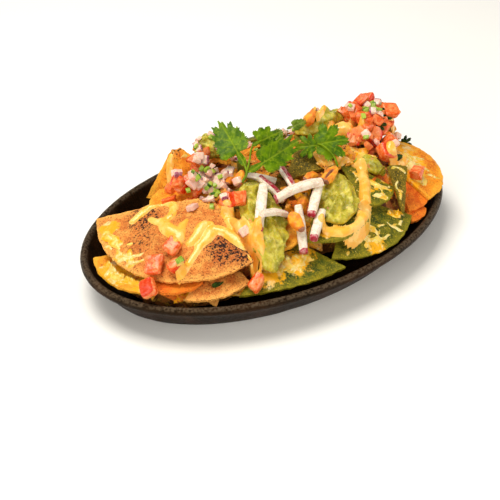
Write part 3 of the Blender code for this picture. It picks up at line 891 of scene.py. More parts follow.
@dataclass
class Spot:
    """A round patch: its place, its reach and its strength."""

    x: float
    y: float
    reach: float
    strength: float = 1.0

    def at(self, point: Vector) -> float:
        """The patch's strength at a point."""
        away = math.hypot(point.x - self.x, point.y - self.y) / self.reach
        return self.strength * smooth(1.25 - away)


def spotted(spots: Sequence[Spot]) -> Callable[[bmesh.types.BMVert], float]:
    """A rule that gives the strongest of several patches."""
    return lambda vert: max((spot.at(vert.co) for spot in spots), default=0.0)


@dataclass
class Pan:
    """The oval pan: one casting with a rounded rim."""

    levels: int = 2
    rim_height: float = 23.6  # above this the iron is lighter: partly wear, partly a painted highlight
    finish: Finish = CastIron("cast_iron")
    ripple: float = 0.1

    def build(self, nodes: dict[str, bpy.types.Object], heap: Heap) -> None:
        """Makes the pan and lays it.

        Args:
            nodes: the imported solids.
            heap: what is laid so far.
        """
        clay = Clay.from_node(nodes["pan"]).refined(self.levels, 0.0)
        clay.push(lambda p, n: n * self.ripple * (wave(p, 11) + 0.5 * wave(p, 4)))
        # The rim's mask: where the iron is painted lighter, partly from wear and partly as a painted
        # highlight.
        clay.mark("rim", lambda v: smooth((v.co.z - self.rim_height) / 1.5))
        piece = clay.piece("pan_iron", self.finish, "iron")
        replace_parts(piece, "pan")
        heap.lay(piece)


@dataclass
class Chip:
    """A whole chip on the heap: its dough, and where it is charred or has cheese melted on it."""

    node: str
    dough: Dough
    char: tuple[Spot, ...] = ()
    cheese: tuple[Spot, ...] = ()
    levels: int = 3
    blister: float = 0.9  # how blistered it is
    blister_size: float = 10.0
    blister_height: float = 2.4
    blister_least: float = 0.12  # noise below this raises no blister
    warp: float = 0.5
    warp_size: float = 24.0
    grit: float = 0.18
    grit_size: float = 3.2
    ragged: float = 0.8
    bite_size: float = 4.5  # the larger bites in its outline
    nick_size: float = 1.8  # and the smaller ones
    rim_calm: float = 0.6  # how much of a blister is lost at the rim
    rim_width: float = 5.0  # the paler band along its edge
    rim_reach: float = 3.5  # how far in from its edge the outline's unevenness goes

    def build(self, nodes: dict[str, bpy.types.Object], heap: Heap, seed: int) -> None:
        """Makes the chip from its packed sheet and lays it.

        Args:
            nodes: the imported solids.
            heap: what is laid so far.
            seed: keeps its blisters apart from the others'.
        """
        clay = Clay.from_node(nodes[self.node]).refined(self.levels, 1.0, 50.0, 0.55)
        gaps = self.rim_gaps(clay.body)
        clay.mark("edge", lambda v: min(1.0, gaps[v.index] / self.rim_width))
        clay.mark("char", spotted(self.char))
        clay.mark("cheese", spotted(self.cheese))
        self.fry(clay, gaps, seed)
        piece = clay.piece(self.node + "_fried", self.dough.value, self.dough.slot())
        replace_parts(piece, self.node)
        heap.lay(piece)

    def rim_gaps(self, body: bmesh.types.BMesh, sharp: float = 38.0, flat: float = 9.0) -> list[float]:
        """How far each point is from the chip's hard edge.

        Args:
            body: the chip.
            sharp: the least turn of a hard edge, in degrees.
            flat: what a chip without a hard edge gets.

        Returns:
            One distance for each point.
        """
        body.normal_update()
        hard = [e for e in body.edges if e.calc_face_angle(0) > math.radians(sharp)]
        rim = {v for edge in hard for v in edge.verts}
        tree = KDTree(max(1, len(rim)))
        for i, vert in enumerate(rim):
            tree.insert(vert.co, i)
        tree.balance()
        body.verts.index_update()
        return [tree.find(v.co)[2] if rim else flat for v in body.verts]

    def fry(self, clay: Clay, gaps: Sequence[float], seed: int) -> None:
        """Gives the chip its blisters, its warp and its ragged edge.

        Args:
            clay: the chip.
            gaps: how far each point is from its edge.
            seed: keeps its blisters apart from the others'.
        """
        middle = clay.middle()
        upper = [f for f in clay.body.faces if f.normal.z > 0]
        face_up = sum((f.normal * f.calc_area() for f in upper), Vector()).normalized()
        moves = []
        for vert in clay.body.verts:
            p, near = vert.co, smooth(1 - gaps[vert.index] / self.rim_reach)
            bubble = max(0.0, wave(p, self.blister_size, seed) - self.blister_least)
            bubble = bubble * self.blister_height * self.blister * (1 - self.rim_calm * near)
            rolling = self.warp * wave(p, self.warp_size, seed + 5)
            shift = face_up * (bubble + rolling + self.grit * wave(p, self.grit_size, seed))
            out = p - middle
            out -= face_up * out.dot(face_up)
            uneven = wave(p, self.bite_size, seed + 9) + 0.6 * wave(p, self.nick_size, seed) - 0.2
            moves.append(shift + out.normalized() * near * self.ragged * uneven)
        for vert, shift in zip(clay.body.verts, moves):
            vert.co += shift


@dataclass
class LooseChip:
    """A broken chip with a place of its own: where it lies, its size, its turn, its lean and its dough."""

    place: Place
    size: float
    heading: float
    lean: Point
    dough: Dough


@dataclass
class Bed:
    """The heart of the heap: a crumbly core with broken chips lying all over it."""

    inset: float = 3.4
    lump: float = 1.6
    shards: int = 190
    least: float = 15.0
    most: float = 27.0
    reach: Point = (116.0, 68.0)
    lowest: float = 9.0  # broken chips lie on the heap above this height
    sink: float = 1.4
    thickness: float = 1.7
    tilt: float = 0.22  # how far a broken chip leans away from the slope
    corners: tuple[float, ...] = (0.0, 118.0, 242.0)  # which way its corners point, in degrees
    corner_turn: float = 12.0
    corner_reach: Point = (0.48, 0.68)  # how far out they are, as shares of its size
    side_steps: int = 8
    bulge: float = 0.1  # how round its first side is
    crumble: float = 0.05  # how uneven its sides are
    snipped: float = 0.96  # how blunt its corners are
    bend: Point = (-0.004, 0.006)
    blister: float = 0.9
    blister_size: float = 7.0
    most_char: float = 0.5
    melted: tuple[float, ...] = (0.0, 0.0, 0.0, 0.55)  # one chip in four has cheese on it
    seed: int = 11
    kinds: tuple[tuple[Dough, float], ...] = (
        (Dough.CORN, 0.5),
        (Dough.SPINACH, 0.2),
        (Dough.CHILLI, 0.14),
        (Dough.TOASTED, 0.16),
    )

    def build(self, nodes: dict[str, bpy.types.Object], heap: Heap) -> None:
        """Makes the core and the broken chips and lays them.

        Args:
            nodes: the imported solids.
            heap: what is laid so far.
        """
        clay = Clay.from_node(nodes["bed"]).refined(2, 0.0)
        clay.push(lambda p, n: n * (self.lump * wave(p, 6) + 0.8 * wave(p, 2.6) - self.inset * (n.z > -0.5)))
        core = clay.piece("crushed_core", Core("crushed_core"), "bed", 80)
        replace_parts(core, "bed")
        heap.lay(core)
        clays = {dough: Clay() for dough, _ in self.kinds}
        chance = random.Random(self.seed)
        self.strew(clays, nodes["bed"], heap, chance)
        for chip in LOOSE_CHIPS:
            frame = laid(Vector(chip.place), Vector((*chip.lean, 1)).normalized(), chip.heading)
            self.shard(clays[chip.dough], frame, chip.size, chance.uniform(0, 90), chance)
        pieces = [
            shape.piece(f"broken_{dough.name.lower()}_chips", dough.value, dough.slot())
            for dough, shape in clays.items()
        ]
        heap.lay(*pieces)

    def strew(
        self, clays: dict[Dough, Clay], bed: bpy.types.Object, heap: Heap, chance: random.Random
    ) -> None:
        """Strews broken chips where the core shows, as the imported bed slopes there.

        Args:
            clays: the broken chips of each dough.
            bed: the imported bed.
            heap: what is laid so far.
            chance: the seeded source of their places and shapes.
        """
        slopes = Heap()
        slopes.lay(bed)
        made = 0
        for _ in range(self.shards * 6):
            x, y, _ = scattered(chance, 0.0, 0.0, *self.reach)
            dough = chance.choices([k for k, _ in self.kinds], [w for _, w in self.kinds])[0]
            size, seed = chance.uniform(self.least, self.most), chance.uniform(0, 90)
            heading = chance.uniform(0, 360)
            lean = Vector((chance.gauss(0, self.tilt), chance.gauss(0, self.tilt), 0))
            if made == self.shards or heap.hit(x, y)[2] != "crushed_core":
                continue
            height, normal = slopes.rest(x, y, size / 3)
            if height < self.lowest:
                continue
            frame = laid(Vector((x, y, height - self.sink)), (normal + lean).normalized(), heading)
            self.shard(clays[dough], frame, size, seed, chance)
            made += 1

    def shard(self, clay: Clay, frame: Matrix, size: float, seed: float, chance: random.Random) -> None:
        """Adds one broken chip, a rough triangle with one round side.

        Args:
            clay: the chips of its dough.
            frame: where it lies.
            size: its length.
            seed: keeps its blisters apart from the others'.
            chance: the seeded source of its shape.
        """
        angles = [chance.uniform(-self.corner_turn, self.corner_turn) + a for a in self.corners]
        corners = [around(angle, size * chance.uniform(*self.corner_reach)) for angle in angles]
        outline = []
        for side, (a, b) in enumerate(zip(corners, corners[1:] + corners[:1])):
            for step in range(self.side_steps):
                t = step / self.side_steps
                spot = a.lerp(b, t) * (1 + self.bulge * math.sin(math.pi * t) * (side == 0))
                spot *= 1 + self.crumble * noise.noise(Vector((spot.x, spot.y, seed)) / 3)
                outline.append(spot * (self.snipped if step == 0 else 1))
        bend = chance.uniform(*self.bend)

        def lift(x: float, y: float) -> float:
            """The chip's bend and its blisters."""
            return bend * x * x + self.blister * noise.noise(Vector((x, y, seed)) / self.blister_size)

        points, faces, inner = fan(outline, 5, self.thickness, lift)
        charred, melted = chance.uniform(0, self.most_char), chance.choice(self.melted)
        edge = [min(1, 2 * i) for i in inner]
        clay.add([frame @ p for p in points], faces, edge=edge, char=charred, cheese=melted)


@dataclass
class Dollop:
    """A spoonful of mash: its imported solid, lumped and ridged."""

    node: str
    finish: Finish = GUACAMOLE
    heading: float = 0.0  # which way the spoon went, in degrees
    lump: float = 1.5
    lump_size: float = 7.5
    curd: float = 0.8
    curd_size: float = 3.4
    grain: float = 0.35
    grain_size: float = 1.7
    ridge: float = 0.0
    ridge_size: float = 5.5
    ridge_length: float = 2.6  # as a share of how far apart the ridges are
    underside: float = 0.3  # how much of its relief its underside has

    def build(self, nodes: dict[str, bpy.types.Object], heap: Heap, seed: int) -> None:
        """Makes the dollop and lays it.

        Args:
            nodes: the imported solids.
            heap: what is laid so far.
            seed: keeps its lumps apart from the others'.
        """
        turn = math.radians(self.heading)
        along = Vector((math.cos(turn), math.sin(turn), 0))
        across = Vector((-math.sin(turn), math.cos(turn), 0))

        def move(p: Vector, n: Vector) -> Vector:
            """How far a point of the mash is pushed out."""
            spoon = Vector((p.dot(along) / self.ridge_length, p.dot(across), p.z * 0.5))
            spoon += Vector((1, 1, 1)) * 1.6 * wave(p, 9, seed)
            rise = self.lump * wave(p, self.lump_size, seed) + self.curd * wave(p, self.curd_size, seed)
            rise += self.grain * wave(p, self.grain_size, seed)
            crest = self.ridge * (0.34 - abs(wave(spoon, self.ridge_size, seed)))
            return n * (rise + crest) * (self.underside + (1 - self.underside) * smooth(n.z + 0.6))

        clay = Clay.from_node(nodes[self.node]).refined(3, 0.0).push(move)
        piece = clay.piece(self.node + "_mash", self.finish, "guacamole", 180)
        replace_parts(piece, self.node)
        heap.lay(piece)


@dataclass
class CutTomatoes:
    """The larger pieces of tomato, wet wedges with skin on one side."""

    crease: float = 0.35
    skin_depth: float = 1.6
    bump: float = 0.5
    bump_size: float = 5.0
    seed_bump: float = 0.22
    seed_size: float = 1.9

    def build(self, nodes: dict[str, bpy.types.Object], heap: Heap) -> None:
        """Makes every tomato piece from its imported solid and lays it.

        Args:
            nodes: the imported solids.
            heap: what is laid so far.
        """
        for index, name in enumerate(sorted(n for n in nodes if n.startswith("tomato_"))):
            chance = random.Random(index)
            clay = Clay.from_node(nodes[name])
            middle = clay.middle()
            faces = sorted(clay.body.faces, key=lambda f: -f.calc_area())[:6]
            skin = chance.choice(faces).normal.copy()
            reach = max((v.co - middle).dot(skin) for v in clay.body.verts)
            clay.refined(3, self.crease, 30)
            clay.push(lambda p, n: n * self.relief(p, index))
            clay.mark("skin", lambda v: smooth((v.co - middle).dot(skin) - reach + self.skin_depth))
            clay.mark("tone", lambda v: smooth(wave(v.co, self.bump_size, index + 4) * 2 - 0.2))
            piece = clay.piece(name + "_cut", TOMATO, "tomato", 50)
            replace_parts(piece, name)
            heap.lay(piece)

    def relief(self, p: Vector, index: int) -> float:
        """How far a point of a piece stands out."""
        return self.bump * wave(p, self.bump_size, index) + self.seed_bump * wave(p, self.seed_size, index)


@dataclass
class Radishes:
    """Strips of radish with coloured skin at one end or along one side."""

    skin_near: float = 2.6  # how long the skin is at the end that points to the front
    skin_far: float = 2.0  # and at the other end
    slanted: float = 0.6
    skin_fade: float = 0.8  # how far the skin takes to fade
    swell: float = 0.25  # how far a strip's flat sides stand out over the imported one's
    wobble: float = 0.3
    wobble_size: float = 5.0
    grain: float = 0.12
    grain_size: float = 2.0
    side_skinned: tuple[str, ...] = ("radish_1", "radish_3")
    near_skinned: tuple[str, ...] = ("radish_4", "radish_5", "radish_6", "radish_7")

    def build(self, nodes: dict[str, bpy.types.Object], heap: Heap) -> None:
        """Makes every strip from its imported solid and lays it.

        Args:
            nodes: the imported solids.
            heap: what is laid so far.
        """
        for index, name in enumerate(sorted(n for n in nodes if n.startswith("radish_"))):
            clay = Clay.from_node(nodes[name])
            middle, axis = clay.lengthways()
            axis *= -1 if axis.y > 0 else 1
            reach = max((v.co - middle).dot(axis) for v in clay.body.verts)
            side = UP.cross(axis).normalized()
            red, front = name in self.side_skinned, name in self.near_skinned
            clay.refined(3, 0.92, 30)
            clay.push(lambda p, n: n * self.relief(p, index))

            def skin(v: bmesh.types.BMVert) -> float:
                """How much skin a point has, by its side or by how near it is to the strip's end."""
                along = (v.co - middle).dot(axis)
                slant = (v.co - middle).dot(side) * self.slanted
                if red:
                    return smooth(0.9 + slant)
                if front:
                    near = along + slant * 0.3 - reach + self.skin_near
                else:
                    near = -along - reach + self.skin_far
                return smooth(near / self.skin_fade)

            clay.mark("skin", skin)
            clay.mark("tone", lambda v: smooth(wave(v.co, 6, index) - 0.2))
            piece = clay.piece(name + "_cut", RADISH, "radish_skin" if red else "radish", 50)
            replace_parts(piece, name)
            heap.lay(piece)

    def relief(self, p: Vector, index: int) -> float:
        """How far a point of a strip stands out."""
        wobble = self.wobble * wave(p, self.wobble_size, index)
        return self.swell + wobble + self.grain * wave(p, self.grain_size, index)


@dataclass
class Kernels:
    """Toasted corn kernels, dimpled, with a brown tip or a split side."""

    split: str = "corn_kernel_4"
    swell: float = 0.6
    lump: float = 0.9
    lump_size: float = 5.0
    dent: float = 0.4
    dent_size: float = 2.2
    groove: float = 0.7  # how deep its crease is
    split_groove: float = 2.4  # and how deep the split is
    groove_width: float = 1.1
    tip_length: float = 2.6  # how long its brown tip is
    tip_fade: float = 1.6
    inside_width: float = 1.3  # how wide the split's brown inside is

    def build(self, nodes: dict[str, bpy.types.Object], heap: Heap) -> None:
        """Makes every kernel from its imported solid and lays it.

        Args:
            nodes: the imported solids.
            heap: what is laid so far.
        """
        for index, name in enumerate(sorted(n for n in nodes if n.startswith("corn_kernel_"))):
            clay = Clay.from_node(nodes[name])
            middle, axis = clay.lengthways()
            along = [(v.co - middle).dot(axis) for v in clay.body.verts]
            if abs(min(along)) > max(along):
                axis, along = -axis, [-a for a in along]
            tip = max(along)
            across = UP.cross(axis).normalized()
            split = name == self.split
            clay.refined(3, 0.0)

            def move(p: Vector, n: Vector) -> Vector:
                """Swells the kernel's shoulders and presses its dimples in."""
                out = p - middle
                lump, dent = wave(p, self.lump_size, index), wave(p, self.dent_size, index)
                swell = self.swell + self.lump * lump + self.dent * dent
                groove = math.exp(-((out.dot(across) / self.groove_width) ** 2)) * smooth(n.z)
                groove = groove * (self.split_groove if split else self.groove)
                groove *= smooth(1.3 - abs(out.dot(axis)) / tip)
                return n * (swell - groove)

            def brown(v: bmesh.types.BMVert) -> float:
                """How brown a point is: the tip, or the inside of the split."""
                out = v.co - middle
                end = smooth((out.dot(axis) - tip + self.tip_length) / self.tip_fade)
                if not split:
                    return end
                inside = math.exp(-((out.dot(across) / self.inside_width) ** 2)) * smooth(v.normal.z * 2)
                return max(end, inside * smooth(1.2 - abs(out.dot(axis)) / tip))

            clay.push(move)
            clay.body.normal_update()
            clay.mark("skin", brown)
            piece = clay.piece(name + "_toasted", KERNEL, "kernel", 70)
            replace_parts(piece, name)
            heap.lay(piece)


def passing(a: Vector, b: Vector, c: Vector, d: Vector, t: float) -> Vector:
    """A point of the smooth line between b and c, which comes from a and goes on to d."""
    return 0.5 * (2 * b + (c - a) * t + (2 * a - 5 * b + 4 * c - d) * t * t + (3 * b - 3 * c + d - a) * t**3)


@dataclass
class Stream:
    """A line of poured sauce or a string of cheese: the places it passes, and its width along the way."""

    places: tuple[Point, ...]
    widths: tuple[float, ...]
    depth: float = 0.6  # its height as a share of half its width

    def beads(self, step: float = 0.6) -> list[tuple[float, float, float]]:
        """Points along the smoothed line.

        Args:
            step: how far apart they are.

        Returns:
            The place and the radius of each.
        """
        places = [Vector(p) for p in self.places]
        places = [places[0] * 2 - places[1], *places, places[-1] * 2 - places[-2]]
        spans, found = len(places) - 3, []
        for i in range(spans):
            a, b, c, d = places[i : i + 4]
            steps = max(1, round((c - b).length / step))
            for k in range(steps + (i == spans - 1)):
                t = k / steps
                spot = passing(a, b, c, d, t)
                share = (i + t) / spans * (len(self.widths) - 1)
                low = min(int(share), len(self.widths) - 2)
                wide = self.widths[low] + (self.widths[low + 1] - self.widths[low]) * smooth(share - low)
                found.append((spot.x, spot.y, wide / 2))
        return found


@dataclass
class Shreds:
    """Short strings of melted cheese, strewn over a patch: its middle and reach, their number and sizes."""

    x: float
    y: float
    along: float
    across: float
    count: int
    length: float = 9.0
    width: float = 2.4

    def streams(self, chance: random.Random) -> list[Stream]:
        """The strings as streams.

        Args:
            chance: the seeded source of their places and bends.

        Returns:
            One stream for each string.
        """
        found = []
        for _ in range(self.count):
            x, y, _ = scattered(chance, self.x, self.y, self.along, self.across)
            spot = Vector((x, y))
            heading, places = chance.uniform(0, math.tau), [tuple(spot)]
            for _ in range(3):
                heading += chance.uniform(-0.8, 0.8)
                onward = Vector((math.cos(heading), math.sin(heading)))
                spot = spot + onward * self.length * chance.uniform(0.25, 0.5)
                places.append(tuple(spot))
            wide = self.width * chance.uniform(0.7, 1.3)
            found.append(Stream(tuple(places), (wide * 0.6, wide, wide * 0.5), 0.5))
        return found


@dataclass
class Pour:
    """Something poured or melted over the heap: it follows what it lies on and sags over the gaps."""

    name: str
    finish: Finish
    slot: str
    streams: tuple[Stream, ...]
    spacing: float = 0.55
    drape: float = 1.5  # how softly it bends over edges
    wander: float = 0.0  # how uneven its outline is
    thickness: float = 0.0  # its most height, or none
    holes: float = 0.0
    spread: float = 1.0  # how much wider it has run than its streams
    cliff: float = 6.0  # it parts where it would fall further than this within one step
    margin: float = 4.0
    fringe: float = 2.5  # how far outside a stream the ground is looked at
    absent: float = -9.0  # the rise of a place that stays bare
    bare: tuple[str, ...] = ("", "pan_iron")  # it never lies on these
    followed: float = 2.4  # how far below its outline the ground is still followed
    rim: float = 1.2  # and how far its points
    lip: float = 0.25  # and how far its faces
    hem: float = 0.9  # how deep its rim is pressed in
    skirt: float = 0.8  # how far its rim hangs down

    def build(self, heap: Heap) -> None:
        """Makes the pour and lays it.

        Args:
            heap: what is laid so far.
        """
        beads = [(x, y, r * self.spread, s.depth) for s in self.streams for x, y, r in s.beads()]
        low = [min(b[axis] - b[2] for b in beads) - self.margin for axis in (0, 1)]
        high = [max(b[axis] + b[2] for b in beads) + self.margin for axis in (0, 1)]
        counts = [int((end - start) / self.spacing) for start, end in zip(low, high)]
        columns = [start + np.arange(count) * self.spacing for start, count in zip(low, counts)]
        rise = self.risen(beads, low, columns)
        wanted = rise > -self.followed
        ground = self.ground(heap, rise, wanted, columns)
        if self.thickness:
            rise = np.where(rise > 0, self.thickness * np.tanh(rise / self.thickness), rise)
        soft = self.softened(ground, wanted)
        z = np.maximum(soft, ground) + np.where(rise > 0, rise, np.maximum(rise, -self.hem))
        clay = self.sheet(self.softened(z, wanted, 0.5), rise, wanted & (rise > -self.rim), columns)
        clay.push(lambda p, n: n * (0.12 * wave(p, 3.0) + 0.25 * self.wander * wave(p, 5)))
        self.close(clay)
        heap.lay(clay.piece(self.name, self.finish, self.slot, 180))

    def risen(
        self, beads: Sequence[tuple[float, ...]], low: Sequence[float], columns: Sequence[np.ndarray]
    ) -> np.ndarray:
        """How high the pour stands over the ground at each place of its grid.

        Args:
            beads: the place, the radius and the depth of each point of its streams.
            low: where the grid starts.
            columns: the grid's places along the pan and across it.

        Returns:
            The heights, below zero outside the streams.
        """
        rise = np.full([len(column) for column in columns], self.absent)
        for x, y, r, depth in beads:
            reach = r + self.fringe
            i, j = (
                slice(
                    max(0, int((middle - reach - start) / self.spacing)),
                    min(int((middle + reach - start) / self.spacing) + 2, len(column)),
                )
                for middle, start, column in zip((x, y), low, columns)
            )
            away = np.hypot(columns[0][i][:, None] - x, columns[1][j][None, :] - y)
            inside = np.sqrt(np.clip(1 - (away / r) ** 2, 0, 1)) * r * depth
            rise[i, j] = np.maximum(rise[i, j], np.where(away < r, inside, (r - away) * 0.9))
        return rise

    def ground(
        self, heap: Heap, rise: np.ndarray, wanted: np.ndarray, columns: Sequence[np.ndarray]
    ) -> np.ndarray:
        """The heights of what the pour lies on, and its bare places, holes and bites in its rise.

        Args:
            heap: what is laid so far.
            rise: how high the pour stands, which is changed.
            wanted: where the ground is looked at.
            columns: the grid's places along the pan and across it.

        Returns:
            The heights.
        """
        ground = np.zeros(rise.shape)
        for i, j in zip(*np.nonzero(wanted)):
            spot = Vector((columns[0][i], columns[1][j], 0))
            ground[i, j], _, owner = heap.hit(columns[0][i], columns[1][j])
            if owner in self.bare:
                rise[i, j] = self.absent
            if self.wander:
                bite = wave(spot, 7, 3) + 0.6 * wave(spot, 3, 8)
                rise[i, j] += self.wander * bite - self.holes * max(0.0, wave(spot, 4.0, 21) - 0.1)
        return ground

    def softened(self, heights: np.ndarray, wanted: np.ndarray, share: float = 1.0) -> np.ndarray:
        """Blurs heights where they are wanted.

        Args:
            heights: the heights.
            wanted: where they hold.
            share: how strongly, as a share of the drape.

        Returns:
            The softer heights.
        """
        reach = max(1, round(self.drape * share / self.spacing))
        weights = np.exp(-0.5 * (np.arange(-2 * reach, 2 * reach + 1) / reach) ** 2)
        total, weight = heights * wanted, wanted.astype(float)
        for axis in (0, 1):
            total = np.apply_along_axis(lambda a: np.convolve(a, weights, "same"), axis, total)
            weight = np.apply_along_axis(lambda a: np.convolve(a, weights, "same"), axis, weight)
        return np.where(wanted, total / np.maximum(weight, 1e-6), heights)

    def sheet(
        self, z: np.ndarray, rise: np.ndarray, used: np.ndarray, columns: Sequence[np.ndarray]
    ) -> Clay:
        """The pour's upper side, without the faces that would hang like curtains.

        Args:
            z: its heights.
            rise: how high it stands over the ground.
            used: the places it reaches.
            columns: the grid's places along the pan and across it.

        Returns:
            The open sheet.
        """
        numbers = -np.ones(z.shape, int)
        numbers[used] = np.arange(used.sum())
        corners, peaks, heights = (
            np.stack([a[:-1, :-1], a[1:, :-1], a[1:, 1:], a[:-1, 1:]], -1) for a in (numbers, rise, z)
        )
        steep = heights.max(-1) - heights.min(-1) > self.cliff
        kept = (corners >= 0).all(-1) & (peaks.max(-1) > -self.lip) & ~steep
        clay = Clay()
        points = [Vector((columns[0][i], columns[1][j], z[i, j])) for i, j in zip(*np.nonzero(used))]
        clay.add(points, [tuple(int(v) for v in c) for c in corners[kept]])
        loose = [v for v in clay.body.verts if not v.link_faces]
        bmesh.ops.delete(clay.body, geom=loose, context="VERTS")
        return clay

    def close(self, clay: Clay) -> None:
        """Turns the sheet's rim down, so that no edge of it stands open to the view."""
        rim = [e for e in clay.body.edges if len(e.link_faces) == 1]
        made = bmesh.ops.extrude_edge_only(clay.body, edges=rim)
        for vert in (g for g in made["geom"] if isinstance(g, bmesh.types.BMVert)):
            vert.co.z -= self.skirt


@dataclass
class Field:
    """A patch strewn with small pieces: its middle, its reach along and across, and what lies there."""

    x: float
    y: float
    along: float
    across: float
    count: int
    least: float
    most: float
    height: float = 0.0

    def places(self, chance: random.Random) -> list[tuple[float, ...]]:
        """Where its pieces lie.

        Args:
            chance: the seeded source of the places.

        Returns:
            The place, the size and the least height of each.
        """
        found = []
        for _ in range(self.count):
            x, y, share = scattered(chance, self.x, self.y, self.along, self.across)
            height = self.height * (1 - 0.12 * share * share)
            found.append((x, y, chance.uniform(self.least, self.most), height))
        return found


@dataclass
class Dice:
    """Small cut pieces of one kind, joined in one piece."""

    name: str
    finish: Finish
    slot: str
    places: tuple[tuple[float, ...], ...]  # x, y, size and, where it stands clear of the heap, z
    shape: Place = (1.0, 0.8, 0.7)  # its length, width and height as shares of its size
    tilt: float = 0.25  # how far a piece leans away from the slope
    rounded: float = 0.14  # how far its edges are cut back, as a share of its size
    uneven: float = 0.07
    skew: float = 0.16
    curl: float = 0.0
    skin: float = 0.3
    sink: float = 0.12
    seed: int = 3
    fields: tuple[Field, ...] = ()
    bare: tuple[str, ...] = ("poured_sauce", "coriander_sprig")  # what the strewn pieces keep off

    def build(self, heap: Heap) -> None:
        """Makes the pieces and lays them.

        Args:
            heap: what is laid so far.
        """
        clay = Clay()
        chance = random.Random(self.seed)
        for place in (*self.places, *(spot for strewn in self.fields for spot in strewn.places(chance))):
            x, y, size = place[:3]
            points, faces, skin = self.morsel(size, chance)
            if place not in self.places and heap.hit(x, y)[2] in self.bare:
                continue
            height, normal = heap.rest(x, y, size * 0.35)
            if len(place) > 3:
                height = max(height, place[3])
            lean = Vector((chance.gauss(0, self.tilt), chance.gauss(0, self.tilt), 0))
            centre = Vector((x, y, height + size * self.shape[2] * (0.5 - self.sink)))
            frame = laid(centre, (normal + lean).normalized(), chance.uniform(0, 360))
            tone = chance.random() ** 2
            clay.add([frame @ p for p in points], faces, skin=skin, tone=tone, vein=0.0)
        heap.lay(clay.piece(self.name, self.finish, self.slot, 55))

    def morsel(self, size: float, chance: random.Random) -> MaskedShape:
        """One cut piece.

        Args:
            size: its length.
            chance: the seeded source of its shape.

        Returns:
            Its points, its faces and its skin mask.
        """
        body = bmesh.new()
        bmesh.ops.create_cube(body, size=1.0)
        for vert in body.verts:
            vert.co += Vector([chance.uniform(-self.skew, self.skew) for _ in range(3)])
        round_off = {"segments": 2, "affect": "EDGES", "profile": 0.6}
        bmesh.ops.bevel(body, geom=body.edges[:], offset=self.rounded, **round_off)
        long = [e for e in body.edges if e.calc_length() > 0.3]
        bmesh.ops.subdivide_edges(body, edges=long, cuts=2, use_grid_fill=True)
        seed = chance.uniform(0, 60)
        skin_side = chance.random() < self.skin
        points, skin = [], []
        for vert in body.verts:
            p = vert.co.copy()
            skin.append(smooth((p.x - 0.22) / 0.2) if skin_side else 0.0)
            p.z += self.curl * (0.25 - p.x * p.x)
            p = Vector((p.x * self.shape[0], p.y * self.shape[1], p.z * self.shape[2])) * size
            p += Vector([wave(p, size * 0.5, seed + step) for step in (0, 7, 13)]) * size * self.uneven
            points.append(p)
        body.verts.index_update()
        faces = [tuple(v.index for v in f.verts) for f in body.faces]
        body.free()
        return points, faces, skin


def tube(path: Sequence[Vector], thick: float, thin: float, sides: int = 8) -> Shape:
    """A round closed stem along a path.

    Args:
        path: the points of its middle.
        thick: its radius at the first point.
        thin: its radius at the last point.
        sides: how many sides it has.

    Returns:
        Its points and its faces.
    """
    points, faces = [], []
    side = Vector((0.3, 0.8, 0.5))
    last = len(path) - 1
    for i, spot in enumerate(path):
        along = (path[min(i + 1, last)] - path[max(i - 1, 0)]).normalized()
        side = (side - along * side.dot(along)).normalized()
        other = along.cross(side)
        radius = thick + (thin - thick) * (i / last)
        radius *= 0.5 if i in (0, last) else 1
        for k in range(sides):
            a = math.tau * k / sides
            points.append(spot + (side * math.cos(a) + other * math.sin(a)) * radius)
            if i:
                base, nxt = (i - 1) * sides, (k + 1) % sides
                faces.append((base + k, base + nxt, base + sides + nxt, base + sides + k))
    faces += [tuple(range(sides))[::-1], tuple(range(len(points) - sides, len(points)))]
    return points, faces


def curve(places: Sequence[Sequence[float]], steps: int = 8) -> list[Vector]:
    """A smooth line through a few points.

    Args:
        places: the points.
        steps: how many steps it takes between two of them.

    Returns:
        The points of the line.
    """
    p = [Vector(q) for q in places]
    p = [p[0] * 2 - p[1], *p, p[-1] * 2 - p[-2]]
    spans = zip(p, p[1:], p[2:], p[3:])
    return [*(passing(*span, k / steps) for span in spans for k in range(steps)), p[-2]]


